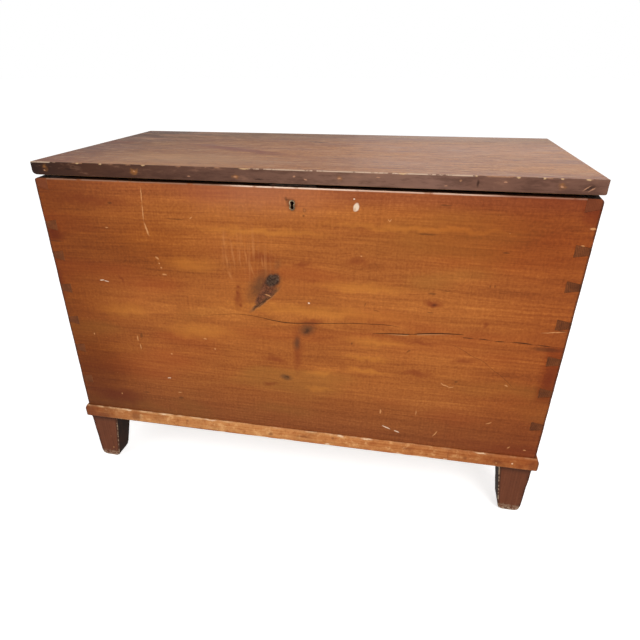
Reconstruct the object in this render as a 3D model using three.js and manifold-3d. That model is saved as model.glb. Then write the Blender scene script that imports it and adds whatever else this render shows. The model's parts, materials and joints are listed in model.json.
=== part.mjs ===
// A dovetailed pine blanket chest on four tapered feet, with a hinged lid and a chest lock.
// Millimetres, +Z up, front towards -Y. Inside the chest's own group the front of the case is
// y = 0, the middle of its width is x = 0 and the floor is z = 0.

import * as THREE from "three";
import { mergeVertices } from "three/addons/utils/BufferGeometryUtils.js";
import Module from "manifold-3d";

const wasm = await Module();
wasm.setup();

// Clearances and cutters
const seatGap = 0.3; // left between two pieces that meet
const overrun = 2; // how far a cutter runs past the face it opens
const weldDistance = 0.001; // vertices closer than this are one vertex

// The case: four boards, through dovetails at the corners
const caseWidth = 1020;
const caseDepth = 492;
const caseHeight = 551;
const boardThickness = 26;

// Pins stand on the side boards. Their middles are given from the top, as shares of the height.
const pinRootWidth = 21;
const pinTipWidth = 12;
const endPinRootHeight = 22;
const endPinTipHeight = 15.5;
const leftPinShares = [0.166, 0.28, 0.41, 0.546, 0.671, 0.82];
const rightPinShares = [0.157, 0.273, 0.405, 0.542, 0.669, 0.813];

// Bottom planks, housed in all four boards
const plankThickness = 18;
const plankRise = 24; // from the lower edge of the case to the underside of the planks
const housingDepth = 8;
const tongueLength = 6;
const tongueThickness = 6;

// Base moulding
const mouldingHeight = 28.5;
const mouldingDrop = 3.5; // how far it hangs below the lower edge of the case
const mouldingProjection = 8;
const mouldingTopFlat = 2.5;
const mouldingBottomRound = 3;
const mouldingBandHeight = 12; // top of its upright band
const mouldingCurveHeight = 22; // where the tangents of its upper curve meet
const mouldingCurveInset = 0.8;
const mouldingNailHeight = 9;

// Feet: blocks shouldered under the boards, with a stub that stands inside the corner
const footHeight = 132;
const footWidth = 70;
const footDepth = 68;
const footSideSetback = 1;
const footInnerTaper = 19;
const footOuterTaper = 4;
const footEdgeHeight = 18; // the lower edges are rounded over this height
const footEdgeInsetX = 10;
const footEdgeInsetY = 3;
const footEdgeShares = [0, 0.25, 0.5, 1];
const footStubShoulder = 2;

// Lid
const lidThickness = 24;
const lidFrontOverhang = 2;
const lidBackOverhang = 20;
const lidArris = 1.5;
const battenWidth = 40;
const battenThickness = 18;
const battenInset = 56; // from the inner face of a side board to the batten
const battenEndGap = 12; // from the front and back boards to the batten's ends
const battenChamfer = 5;
const battenScrewShares = [0.08, 0.5, 0.92];

// Hinges: iron butts that lie on the wood, not let into it
const hingeLength = 64;
const hingeLeafWidth = 22;
const hingeLeafThickness = 1.5;
const hingePinRadius = 1;
const hingePinHeadRadius = 1.7;
const hingePinHeadHeight = 0.8;
const hingeRunning = 0.2; // round the pin
const hingeSideGap = 0.4; // between two knuckles
const hingeInset = 178; // from the end of the case to the hinge
const hingeKnuckleCount = 5;
const hingeScrewSpacing = 22;
const hingeScrewStagger = 3;

// Screws and nails
const screwHeadRadius = 2.9;
const screwShankRadius = 1.6;
const screwHeadDepth = 1.3;
const screwHeadRim = 0.2;
const screwPoint = 4;
const screwBite = 13; // length in the wood behind what it holds
const screwSlotWidth = 0.9;
const screwSlotDepth = 0.7;
const nailHeadRadius = 2.6;
const nailHeadHeight = 1.4;
const nailShankRadius = 1.9;
const nailTipRadius = 1;
const nailBite = 16;
const nailPunch = 0.8; // how far its head lies below the face

// Keyhole and its escutcheon
const keyholeTop = 27.25; // from the top of the case to the middle of the upper lobe
const keyholeUpperRadius = 3.5;
const keyholeLowerRadius = 3.1;
const keyholeNeckHalfWidth = 2.3;
const keyholeLobeSpacing = 8;
const escutcheonRim = 2;
const escutcheonDepth = 2.5;
const escutcheonProud = 0.5;

// Lock
const lockPlateWidth = 84;
const lockPlateHeight = 52;
const lockPlateThickness = 2.2;
const lockSelvageDepth = 20;
const lockBoxWidth = 60;
const lockBoxHeight = 46;
const lockBoxDepth = 13;
const lockBoxWall = 1.6;
const lockScrewInset = 7; // from the plate's side edge
const lockScrewShares = [0.2, 0.85]; // down the plate
const keyPinRadius = 1.6;
const keyPinLength = 11;
const boltThickness = 3.4;
const boltTravel = 8;
const boltBodyHeight = 9.8;
const boltFingerHeight = 4.4;
const boltWebWidth = 4;
const boltTalonWidth = 7;
const boltTalonHeight = 4.4;
const boltStumpRadius = 1.2;
const boltStumpDrop = 3; // from the top of the bolt's body
const boltStumpSpacing = 26;
const springThickness = 0.8;
const springWidth = 4;
const springFoot = 4;

// Strike plate and staples
const strikeWidth = 60;
const strikeDepth = 18;
const strikeScrewSpacing = 46;
const stapleSpacing = 24;
const stapleThickness = 3;
const stapleBar = 2.1;
const stapleOpeningWidth = 5;
const stapleOpeningHeight = 6;
const stapleDrop = 2.8; // from the top of the case to the top of the opening
const stapleClearance = 1; // round a staple in its slot, and beside and under it

// Facets
const screwSides = 8;
const nailSides = 4;
const knuckleSides = 16;
const curveSteps = 6;
const arrisSteps = 2;

// Worked out from the sizes above
const halfWidth = caseWidth / 2;
const innerHalfWidth = halfWidth - boardThickness;
const caseTop = footHeight + caseHeight;
const backInnerFace = caseDepth - boardThickness;
const knuckleRadius = hingePinRadius + hingeRunning + hingeLeafThickness;
const hingeHalfGap = knuckleRadius + seatGap; // from the axis to the case, and to the lid
const hingeAxisY = caseDepth + hingeHalfGap;
const hingeAxisZ = caseTop + hingeHalfGap;
const plankBottom = footHeight + plankRise;
const plankTop = plankBottom + plankThickness;

const lockPlateFace = boardThickness + seatGap; // the plate's face against the board
const lockPlateBack = lockPlateFace + lockPlateThickness;
const lockBoxFront = lockPlateFace - seatGap - lockBoxDepth;
const boltMiddleY = lockPlateFace - lockBoxDepth / 2;
const keyholeMiddleZ = caseTop - keyholeTop;
const stapleTop = caseTop - stapleDrop;
const stapleBottom = stapleTop - stapleOpeningHeight - stapleBar;
const boltBodyTop = stapleBottom - stapleClearance;
const boltBodyBottom = boltBodyTop - boltBodyHeight;
const fingerBottom = stapleTop - (stapleOpeningHeight + boltFingerHeight) / 2;
const fingerTop = fingerBottom + boltFingerHeight;

// Materials
const finish = (color, roughness, metalness = 0) =>
  new THREE.MeshStandardMaterial({ color, roughness, metalness });
const casePine = finish(0xa05a28, 0.42);
const sidePine = finish(0x9a5426, 0.45);
const lidPine = finish(0x7a5546, 0.38);
const mouldingPine = finish(0xb4662f, 0.4);
const footPine = finish(0x6e412b, 0.5);
const plankPine = finish(0xb08a5c, 0.8);
const battenPine = finish(0xa8794c, 0.75);
const darkIron = finish(0x3a332e, 0.6, 0.9);
const lockIron = finish(0x4a4038, 0.55, 0.9);
const springSteel = finish(0x5c5750, 0.4, 1);
const wornBrass = finish(0x9a8058, 0.4, 1);

// Geometry to solid and back
function toSolid(geometry) {
  const bare = geometry.clone();
  bare.deleteAttribute("normal");
  bare.deleteAttribute("uv");
  const welded = mergeVertices(bare, weldDistance);
  return new wasm.Manifold(
    new wasm.Mesh({
      numProp: 3,
      vertProperties: new Float32Array(welded.attributes.position.array),
      triVerts: new Uint32Array(welded.index.array),
    }),
  );
}

function toGeometry(solid) {
  const { vertProperties, triVerts } = solid.getMesh();
  const geometry = new THREE.BufferGeometry();
  geometry.setAttribute("position", new THREE.BufferAttribute(vertProperties, 3));
  geometry.setIndex(new THREE.BufferAttribute(triVerts, 1));
  const faceted = geometry.toNonIndexed();
  faceted.computeVertexNormals();
  return faceted;
}

const cut = (body, tools) => tools.reduce((rest, tool) => rest.subtract(toSolid(tool)), body);
const join = (body, tools) => tools.reduce((whole, tool) => whole.add(toSolid(tool)), body);

// Shapes. A span is a pair of numbers, in either order.
const span = (a, b) => [Math.min(a, b), Math.max(a, b)];
const around = (middle, width) => [middle - width / 2, middle + width / 2];

function box(x, y, z) {
  const size = [x, y, z].map(([low, high]) => high - low);
  const middle = [x, y, z].map(([low, high]) => (low + high) / 2);
  return new THREE.BoxGeometry(...size).translate(...middle);
}

// An outline drawn in X and Z, carried from one y to another
function standing(shape, [from, to]) {
  const geometry = new THREE.ExtrudeGeometry(shape, {
    depth: to - from,
    bevelEnabled: false,
    curveSegments: curveSteps,
  });
  return geometry.rotateX(Math.PI / 2).translate(0, to, 0);
}

// A rod along X between two places
function rod(radius, [from, to], sides = knuckleSides) {
  const geometry = new THREE.CylinderGeometry(radius, radius, to - from, sides);
  return geometry.rotateZ(Math.PI / 2).translate((from + to) / 2, 0, 0);
}

// A closed block through level rectangles, from the lowest up: each is { z, x, y } with x and y spans
function loft(rings) {
  const corners = rings.flatMap(({ z, x, y }) => [
    [x[0], y[0], z],
    [x[1], y[0], z],
    [x[1], y[1], z],
    [x[0], y[1], z],
  ]);
  const last = corners.length - 4;
  const faces = [0, 2, 1, 0, 3, 2, last, last + 1, last + 2, last, last + 2, last + 3];
  for (let ring = 0; ring < last; ring += 4) {
    for (let side = 0; side < 4; side += 1) {
      const a = ring + side;
      const b = ring + ((side + 1) % 4);
      faces.push(a, b, b + 4, a, b + 4, a + 4);
    }
  }
  const geometry = new THREE.BufferGeometry();
  geometry.setAttribute("position", new THREE.Float32BufferAttribute(corners.flat(), 3));
  geometry.setIndex(faces);
  return geometry;
}

// A turned or square-shanked piece about Z, from its lowest point up
function turned(profile, sides) {
  const points = profile.map(([radius, height]) => new THREE.Vector2(radius, height));
  return new THREE.LatheGeometry(points, sides).rotateX(Math.PI / 2);
}

// Placing
const place = (x, y, z, turnX = 0, turnZ = 0) =>
  new THREE.Matrix4()
    .makeTranslation(x, y, z)
    .multiply(new THREE.Matrix4().makeRotationX(turnX))
    .multiply(new THREE.Matrix4().makeRotationZ(turnZ));
const headUp = 0;
const headDown = Math.PI;
const headInward = -Math.PI / 2;
const headForward = Math.PI / 2;

function addPiece(group, name, shape, material, matrix) {
  const geometry = shape.isBufferGeometry ? shape : toGeometry(shape);
  const mesh = new THREE.Mesh(geometry, material);
  mesh.name = name;
  if (matrix) mesh.applyMatrix4(matrix);
  group.add(mesh);
}

// Screws: the head's face is z = 0 and the point is below it
function screwProfile(length, gap, top) {
  return [
    [0, -length - gap],
    [screwShankRadius + gap, screwPoint - length],
    [screwShankRadius + gap, -screwHeadDepth],
    [screwHeadRadius + gap, -screwHeadRim],
    [screwHeadRadius + gap, top],
    [0, top],
  ];
}

function screw(length, turn) {
  const slotSpan = around(0, 2 * (screwHeadRadius + overrun));
  const slot = box(slotSpan, around(0, screwSlotWidth), [-screwSlotDepth, overrun]);
  const blank = toSolid(turned(screwProfile(length, 0, 0), screwSides));
  return cut(blank, [slot.rotateZ(turn)]);
}

const screwHole = (length, matrix) =>
  turned(screwProfile(length, seatGap, overrun), screwSides).applyMatrix4(matrix);

// Cut nails: square in section, blunt at the tip
function nailProfile(length, gap, top) {
  return [
    [0, -length - gap],
    [nailTipRadius + gap, -length - gap],
    [nailShankRadius + gap, -nailHeadHeight - gap],
    [nailHeadRadius + gap, -nailHeadHeight - gap],
    [nailHeadRadius + gap, top],
    [0, top],
  ];
}

const nail = (length) => turned(nailProfile(length, 0, 0), nailSides);
const nailHole = (length, matrix) =>
  turned(nailProfile(length, seatGap, overrun), nailSides).applyMatrix4(matrix);

// Groups
const chest = new THREE.Group();
const caseGroup = new THREE.Group();
const lidGroup = new THREE.Group(); // its origin is the hinge axis
lidGroup.position.set(0, hingeAxisY, hingeAxisZ);
chest.add(caseGroup, lidGroup);
chest.position.y = -(caseDepth + lidBackOverhang - mouldingProjection) / 2;

// Holes that the fasteners need, gathered by the board they go into
const holes = { front: [], back: [], left: [], right: [], lid: [] };

// Base moulding: the profile is drawn as outward and upward, and its length is drawn along X
function mouldingProfile() {
  const shape = new THREE.Shape();
  shape.moveTo(seatGap, 0);
  shape.lineTo(mouldingProjection - mouldingBottomRound, 0);
  shape.quadraticCurveTo(mouldingProjection, 0, mouldingProjection, mouldingBottomRound);
  shape.lineTo(mouldingProjection, mouldingBandHeight);
  shape.quadraticCurveTo(
    mouldingProjection - mouldingCurveInset,
    mouldingCurveHeight,
    mouldingTopFlat,
    mouldingHeight,
  );
  shape.lineTo(seatGap, mouldingHeight);
  shape.closePath();
  return shape;
}

// The mitres move each end point along the length by as much as it stands out
function moulding([from, to], mitreFrom, mitreTo) {
  const geometry = new THREE.ExtrudeGeometry(mouldingProfile(), {
    depth: 1,
    bevelEnabled: false,
    curveSegments: curveSteps,
  });
  const points = geometry.attributes.position;
  for (let i = 0; i < points.count; i += 1) {
    const out = points.getX(i);
    const up = points.getY(i);
    const start = mitreFrom ? from - out + seatGap : from;
    const end = mitreTo ? to + out - seatGap : to;
    points.setXYZ(i, points.getZ(i) > 0 ? start : end, -out, up);
  }
  return geometry;
}

const mouldingNailLength = mouldingProjection - nailPunch + nailBite;
const mouldingRuns = [
  {
    side: "front",
    along: [-halfWidth, halfWidth],
    mitres: [true, true],
    nailShares: [0.25, 0.584, 0.925],
    origin: [0, 0],
    turn: 0,
  },
  {
    side: "left",
    along: [-caseDepth, 0],
    mitres: [false, true],
    nailShares: [0.22, 0.78],
    origin: [-halfWidth, 0],
    turn: -Math.PI / 2,
  },
  {
    side: "right",
    along: [0, caseDepth],
    mitres: [true, false],
    nailShares: [0.22, 0.78],
    origin: [halfWidth, 0],
    turn: Math.PI / 2,
  },
];

for (const { side, along, mitres, nailShares, origin, turn } of mouldingRuns) {
  const run = new THREE.Group();
  run.position.set(...origin, footHeight - mouldingDrop);
  run.rotation.z = turn;
  run.updateMatrix();
  caseGroup.add(run);
  const nails = nailShares.map((share) => {
    const x = THREE.MathUtils.lerp(...along, share);
    return place(x, nailPunch - mouldingProjection, mouldingNailHeight, headForward, Math.PI / 4);
  });
  const strip = toSolid(moulding(along, ...mitres));
  const drilled = cut(strip, nails.map((matrix) => nailHole(mouldingNailLength, matrix)));
  addPiece(run, `base_moulding_${side}`, drilled, mouldingPine);
  nails.forEach((matrix, i) => {
    addPiece(run, `moulding_nail_${side}_${i + 1}`, nail(mouldingNailLength), darkIron, matrix);
    holes[side].push(nailHole(mouldingNailLength, run.matrix.clone().multiply(matrix)));
  });
}

// Keyhole: two round lobes joined by a straight neck, as wide all round as grow makes it
function keyholeOutline(grow) {
  const upper = keyholeUpperRadius + grow;
  const lower = keyholeLowerRadius + grow;
  const neck = Math.min(keyholeNeckHalfWidth + grow, upper, lower);
  const upperTurn = Math.asin(neck / upper);
  const lowerTurn = Math.asin(neck / lower);
  const down = -Math.PI / 2;
  const up = Math.PI / 2;
  const lowerZ = keyholeMiddleZ - keyholeLobeSpacing;
  const shape = new THREE.Shape();
  shape.absarc(0, keyholeMiddleZ, upper, down + upperTurn, down - upperTurn + 2 * Math.PI, false);
  shape.absarc(0, lowerZ, lower, up + lowerTurn, up - lowerTurn + 2 * Math.PI, false);
  shape.closePath();
  return shape;
}

const escutcheonRing = keyholeOutline(escutcheonRim);
escutcheonRing.holes.push(keyholeOutline(0));
addPiece(
  caseGroup,
  "keyhole_escutcheon",
  standing(escutcheonRing, [-escutcheonProud, escutcheonDepth]),
  wornBrass,
);

// Lock: a plate inside the front board, with its selvage over the board's edge
const lockScrewLength = lockPlateThickness + screwBite;
const lockScrews = [-1, 1].flatMap((side) =>
  lockScrewShares.map((share) =>
    place(
      side * (lockPlateWidth / 2 - lockScrewInset),
      lockPlateBack,
      caseTop - share * lockPlateHeight,
      headInward,
    ),
  ),
);
const staplePlaces = [-stapleSpacing / 2, stapleSpacing / 2];
const stumpPlaces = around(0, boltStumpSpacing);
const stumpZ = boltBodyTop - boltStumpDrop;
const selvageTop = caseTop + seatGap + lockPlateThickness;
const boltFront = boltMiddleY - boltThickness / 2;
const boltBack = boltMiddleY + boltThickness / 2;

// A short rod along Y, such as a stump or the key pin
const pinAcross = (radius, x, [from, to], z) =>
  new THREE.CylinderGeometry(radius, radius, to - from, knuckleSides).translate(
    x,
    (from + to) / 2,
    z,
  );

function lockPlate() {
  const across = around(0, lockPlateWidth);
  const plate = box(across, [lockPlateFace, lockPlateBack], [caseTop - lockPlateHeight, selvageTop]);
  const selvage = box(
    across,
    [lockPlateBack - lockSelvageDepth, lockPlateBack],
    [caseTop + seatGap, selvageTop],
  );
  const stumps = stumpPlaces.map((x) =>
    pinAcross(boltStumpRadius, x, [boltFront - seatGap, lockPlateBack], stumpZ),
  );
  const slots = staplePlaces.map((x) =>
    box(
      around(x, stapleThickness + 2 * stapleClearance),
      around(boltMiddleY, stapleOpeningWidth + 2 * (stapleBar + stapleClearance)),
      [caseTop - overrun, selvageTop + overrun],
    ),
  );
  const keyPinHole = pinAcross(
    keyPinRadius + seatGap,
    0,
    [lockPlateFace - overrun, lockPlateBack + overrun],
    keyholeMiddleZ,
  );
  const screwHoles = lockScrews.map((matrix) => screwHole(lockScrewLength, matrix));
  return cut(join(toSolid(plate), [selvage, ...stumps]), [...slots, keyPinHole, ...screwHoles]);
}

// The box is open at the top and towards the plate
function lockBox() {
  const outer = box(
    around(0, lockBoxWidth),
    [lockBoxFront, lockBoxFront + lockBoxDepth],
    [caseTop - lockBoxHeight, caseTop],
  );
  const hollow = box(
    around(0, lockBoxWidth - 2 * lockBoxWall),
    [lockBoxFront + lockBoxWall, lockPlateFace + overrun],
    [caseTop - lockBoxHeight + lockBoxWall, caseTop + overrun],
  );
  const keyway = standing(keyholeOutline(0), [
    lockBoxFront - overrun,
    lockBoxFront + lockBoxWall + overrun,
  ]);
  return cut(toSolid(outer), [hollow, keyway]);
}

// The bolt slides towards +X on two stumps, and its fingers enter the staples from the left.
// A finger reaches the whole travel past its web, so the web stops short of the staple's bar.
function lockBolt() {
  const thick = [boltFront, boltBack];
  const inside = lockBoxWidth / 2 - lockBoxWall - seatGap;
  const body = box([-inside, inside - boltTravel], thick, [boltBodyBottom, boltBodyTop]);
  const fingers = staplePlaces.flatMap((x) => {
    const tip = x - stapleThickness / 2 - stapleClearance;
    const root = tip - boltTravel - boltWebWidth;
    return [
      box([root, tip], thick, [fingerBottom, fingerTop]),
      box([root, root + boltWebWidth], thick, [boltBodyTop - overrun, fingerTop]),
    ];
  });
  const through = [boltFront - overrun, boltBack + overrun];
  const slotHalf = boltStumpRadius + seatGap;
  const slots = stumpPlaces.map((x) =>
    box([x - slotHalf - boltTravel, x + slotHalf], through, around(stumpZ, 2 * slotHalf)),
  );
  const talon = box(around(0, boltTalonWidth), through, [
    boltBodyBottom - overrun,
    boltBodyBottom + boltTalonHeight,
  ]);
  return cut(join(toSolid(body), fingers), [...slots, talon]);
}

// A leaf spring that stands on the floor of the box and presses up on the bolt's lower edge
function lockSpring() {
  const left = -lockBoxWidth / 2 + lockBoxWall + seatGap;
  const floor = caseTop - lockBoxHeight + lockBoxWall + seatGap;
  const crown = boltBodyBottom - seatGap;
  const rise = crown - floor;
  const foot = floor + springThickness;
  const outer = new THREE.Shape();
  outer.moveTo(left, floor);
  outer.lineTo(left + springFoot, floor);
  outer.lineTo(left + springFoot, foot);
  outer.lineTo(left + springThickness, foot);
  outer.quadraticCurveTo(
    left + springThickness,
    crown - springThickness,
    left + rise / 2,
    crown - springThickness,
  );
  outer.lineTo(left + rise / 2, crown);
  outer.quadraticCurveTo(left, crown, left, foot);
  outer.closePath();
  return standing(outer, around(boltMiddleY, springWidth));
}

const keyPinSpan = [lockPlateBack - keyPinLength, lockPlateBack];
addPiece(caseGroup, "lock_plate", lockPlate(), lockIron);
addPiece(caseGroup, "lock_box", lockBox(), lockIron);
addPiece(caseGroup, "lock_bolt", lockBolt(), lockIron);
addPiece(caseGroup, "lock_spring", lockSpring(), springSteel);
addPiece(
  caseGroup,
  "lock_key_pin",
  pinAcross(keyPinRadius, 0, keyPinSpan, keyholeMiddleZ),
  lockIron,
);
lockScrews.forEach((matrix, i) => {
  addPiece(caseGroup, `lock_screw_${i + 1}`, screw(lockScrewLength, i), lockIron, matrix);
  holes.front.push(screwHole(lockScrewLength, matrix));
});

const lockMortise = box(
  around(0, lockBoxWidth + 2 * seatGap),
  [lockBoxFront - seatGap, boardThickness + overrun],
  [caseTop - lockBoxHeight - seatGap, caseTop + overrun],
);
const keyhole = standing(keyholeOutline(0), [-overrun, lockBoxFront]);
const escutcheonRecess = standing(keyholeOutline(escutcheonRim + seatGap), [
  -overrun,
  escutcheonDepth + seatGap,
]);
holes.front.push(lockMortise, keyhole, escutcheonRecess);

// Hinges: in a hinge's own frame the axis is X and the origin is its middle
const knuckleLength =
  (hingeLength - (hingeKnuckleCount - 1) * hingeSideGap) / hingeKnuckleCount;
const knucklePitch = knuckleLength + hingeSideGap;
const leafSeat = hingeHalfGap - seatGap; // from the axis to the leaf's face against the wood
const leafFace = leafSeat - hingeLeafThickness;
const hingeScrewLength = hingeLeafThickness + screwBite;
const hingePlaces = {
  left: hingeInset + hingeLength / 2 - halfWidth,
  right: halfWidth - hingeInset - hingeLength / 2,
};

function leafScrews(side) {
  return [-1, 0, 1].map((step) => {
    const stagger = step === 0 ? hingeScrewStagger : -hingeScrewStagger;
    return place(
      step * hingeScrewSpacing,
      -hingeHalfGap - hingeLeafWidth / 2 + stagger / 2,
      side * leafFace,
      side < 0 ? headUp : headDown,
    );
  });
}

// side is -1 for the leaf on the case and 1 for the leaf on the lid
function hingeLeaf(side) {
  const flat = span(side * leafFace, side * leafSeat);
  const plate = box(
    around(0, hingeLength),
    [-hingeHalfGap - hingeLeafWidth, -hingeHalfGap],
    flat,
  );
  const knuckles = [];
  for (let i = side < 0 ? 0 : 1; i < hingeKnuckleCount; i += 2) {
    const from = -hingeLength / 2 + i * knucklePitch;
    const along = [from, from + knuckleLength];
    knuckles.push(rod(knuckleRadius, along), box(along, [-hingeHalfGap - seatGap, 0], flat));
  }
  const bore = rod(hingePinRadius + hingeRunning, around(0, hingeLength + 2 * overrun));
  const screwHoles = leafScrews(side).map((matrix) => screwHole(hingeScrewLength, matrix));
  return cut(join(toSolid(plate), knuckles), [bore, ...screwHoles]);
}

function hingePin() {
  const half = hingeLength / 2;
  const shank = rod(hingePinRadius, [-half - seatGap, half + seatGap]);
  const heads = [-1, 1].map((side) =>
    rod(
      hingePinHeadRadius,
      span(side * (half + seatGap), side * (half + seatGap + hingePinHeadHeight)),
    ),
  );
  return join(toSolid(shank), heads);
}

for (const [side, x] of Object.entries(hingePlaces)) {
  const caseHalf = new THREE.Group();
  caseHalf.position.set(x, hingeAxisY, hingeAxisZ);
  caseHalf.updateMatrix();
  caseGroup.add(caseHalf);
  const lidHalf = new THREE.Group();
  lidHalf.position.set(x, 0, 0);
  lidHalf.updateMatrix();
  lidGroup.add(lidHalf);

  addPiece(caseHalf, `hinge_${side}_case_leaf`, hingeLeaf(-1), darkIron);
  addPiece(caseHalf, `hinge_${side}_pin`, hingePin(), darkIron);
  addPiece(lidHalf, `hinge_${side}_lid_leaf`, hingeLeaf(1), darkIron);
  leafScrews(-1).forEach((matrix, i) => {
    const name = `hinge_${side}_case_screw_${i + 1}`;
    addPiece(caseHalf, name, screw(hingeScrewLength, i + 1), darkIron, matrix);
    holes.back.push(screwHole(hingeScrewLength, caseHalf.matrix.clone().multiply(matrix)));
  });
  leafScrews(1).forEach((matrix, i) => {
    const name = `hinge_${side}_lid_screw_${i + 1}`;
    addPiece(lidHalf, name, screw(hingeScrewLength, i + 2), darkIron, matrix);
    holes.lid.push(screwHole(hingeScrewLength, lidHalf.matrix.clone().multiply(matrix)));
  });
}

// Strike plate, in the lid's frame: two staples hang from it into the lock
const lidUnderside = hingeHalfGap;
const strikeFace = lidUnderside - seatGap;
const strikeUnderside = selvageTop + seatGap - hingeAxisZ;
const strikeScrewLength = strikeFace - strikeUnderside + screwBite;
const strikeMiddleY = boltMiddleY - hingeAxisY;
const strikeScrews = around(0, strikeScrewSpacing).map((x) =>
  place(x, strikeMiddleY, strikeUnderside, headDown),
);

function strikePlate() {
  const plate = box(around(0, strikeWidth), around(strikeMiddleY, strikeDepth), [
    strikeUnderside,
    strikeFace,
  ]);
  const staples = staplePlaces.map((x) =>
    box(
      around(x, stapleThickness),
      around(strikeMiddleY, stapleOpeningWidth + 2 * stapleBar),
      [stapleBottom - hingeAxisZ, strikeFace],
    ),
  );
  const openings = staplePlaces.map((x) =>
    box(
      around(x, stapleThickness + 2 * overrun),
      around(strikeMiddleY, stapleOpeningWidth),
      [stapleTop - stapleOpeningHeight - hingeAxisZ, stapleTop - hingeAxisZ],
    ),
  );
  const screwHoles = strikeScrews.map((matrix) => screwHole(strikeScrewLength, matrix));
  return cut(join(toSolid(plate), staples), [...openings, ...screwHoles]);
}

addPiece(lidGroup, "strike_plate", strikePlate(), lockIron);
strikeScrews.forEach((matrix, i) => {
  addPiece(lidGroup, `strike_screw_${i + 1}`, screw(strikeScrewLength, i), lockIron, matrix);
  holes.lid.push(screwHole(strikeScrewLength, matrix));
});

// Battens: they hang inside the case when the lid is shut
const battenTop = lidUnderside - seatGap;
const battenBottom = battenTop - battenThickness;
const battenMiddleX = innerHalfWidth - battenInset - battenWidth / 2;
const battenAlong = [
  boardThickness + battenEndGap - hingeAxisY,
  backInnerFace - battenEndGap - hingeAxisY,
];
const battenScrewLength = battenThickness + screwBite;

for (const [side, sign] of Object.entries({ left: -1, right: 1 })) {
  const x = sign * battenMiddleX;
  const screws = battenScrewShares.map((share) =>
    place(x, THREE.MathUtils.lerp(...battenAlong, share), battenBottom, headDown),
  );
  const blank = loft([
    {
      z: battenBottom,
      x: around(x, battenWidth - 2 * battenChamfer),
      y: [battenAlong[0] + battenChamfer, battenAlong[1] - battenChamfer],
    },
    { z: battenBottom + battenChamfer, x: around(x, battenWidth), y: battenAlong },
    { z: battenTop, x: around(x, battenWidth), y: battenAlong },
  ]);
  const drilled = cut(
    toSolid(blank),
    screws.map((matrix) => screwHole(battenScrewLength, matrix)),
  );
  addPiece(lidGroup, `lid_batten_${side}`, drilled, battenPine);
  screws.forEach((matrix, i) => {
    const name = `batten_screw_${side}_${i + 1}`;
    addPiece(lidGroup, name, screw(battenScrewLength, i + sign), darkIron, matrix);
    holes.lid.push(screwHole(battenScrewLength, matrix));
  });
}

// Lid board: its arrises are eased all round
function lidBoard() {
  const front = -lidFrontOverhang - hingeAxisY;
  const back = caseDepth + lidBackOverhang - hingeAxisY;
  const face = new THREE.Shape();
  const [x0, x1] = around(0, caseWidth - 2 * lidArris);
  face.moveTo(x0, front + lidArris);
  face.lineTo(x1, front + lidArris);
  face.lineTo(x1, back - lidArris);
  face.lineTo(x0, back - lidArris);
  face.closePath();
  const geometry = new THREE.ExtrudeGeometry(face, {
    depth: lidThickness - 2 * lidArris,
    bevelSize: lidArris,
    bevelThickness: lidArris,
    bevelSegments: arrisSteps,
  });
  return cut(toSolid(geometry.translate(0, 0, lidUnderside + lidArris)), holes.lid);
}

addPiece(lidGroup, "lid_board", lidBoard(), lidPine);

// Dovetails. A pin's root is on the inner face of the side board and its tip on the outer.
function pinsOf(shares) {
  const middles = shares.map((share) => caseTop - share * caseHeight);
  const whole = middles.map((z) => ({ root: around(z, pinRootWidth), tip: around(z, pinTipWidth) }));
  const top = {
    root: [caseTop - endPinRootHeight, caseTop],
    tip: [caseTop - endPinTipHeight, caseTop],
  };
  const bottom = {
    root: [footHeight, footHeight + endPinRootHeight],
    tip: [footHeight, footHeight + endPinTipHeight],
  };
  return [top, ...whole, bottom];
}

// gap widens the outline all round, and reach carries it past the outer face
function pinOutline(sign, { root, tip }, gap, reach) {
  const corner = (distance, edge) => {
    const share = distance / boardThickness;
    const outward = edge === 0 ? -gap : gap;
    const z = THREE.MathUtils.lerp(root[edge], tip[edge], share) + outward;
    return new THREE.Vector2(sign * (innerHalfWidth + distance), z);
  };
  const outer = boardThickness + reach;
  return new THREE.Shape([corner(-gap, 0), corner(outer, 0), corner(outer, 1), corner(-gap, 1)]);
}

const corners = {
  left: { sign: -1, pins: pinsOf(leftPinShares) },
  right: { sign: 1, pins: pinsOf(rightPinShares) },
};

const plankHousing = box(
  around(0, 2 * (innerHalfWidth + housingDepth)),
  [boardThickness - housingDepth, backInnerFace + housingDepth],
  [plankBottom - seatGap, plankTop + seatGap],
);

// Front and back boards carry the tails
function tailBoard([from, to], boardHoles) {
  const sockets = Object.values(corners).flatMap(({ sign, pins }) =>
    pins.map((pin) =>
      standing(pinOutline(sign, pin, seatGap, overrun), [from - overrun, to + overrun]),
    ),
  );
  const blank = box(around(0, caseWidth), [from, to], [footHeight, caseTop]);
  return cut(toSolid(blank), [...sockets, plankHousing, ...boardHoles]);
}

// Side boards carry the pins
function pinBoard({ sign, pins }, boardHoles) {
  const inner = [boardThickness + seatGap, backInnerFace - seatGap];
  const body = box(span(sign * innerHalfWidth, sign * halfWidth), inner, [footHeight, caseTop]);
  const teeth = pins.flatMap((pin) => {
    const outline = pinOutline(sign, pin, 0, 0);
    return [
      standing(outline, [0, boardThickness + overrun]),
      standing(outline, [backInnerFace - overrun, caseDepth]),
    ];
  });
  return cut(join(toSolid(body), teeth), [plankHousing, ...boardHoles]);
}

addPiece(caseGroup, "front_board", tailBoard([0, boardThickness], holes.front), casePine);
addPiece(caseGroup, "back_board", tailBoard([backInnerFace, caseDepth], holes.back), casePine);
for (const [side, corner] of Object.entries(corners)) {
  addPiece(caseGroup, `${side}_side_board`, pinBoard(corner, holes[side]), sidePine);
}

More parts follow.
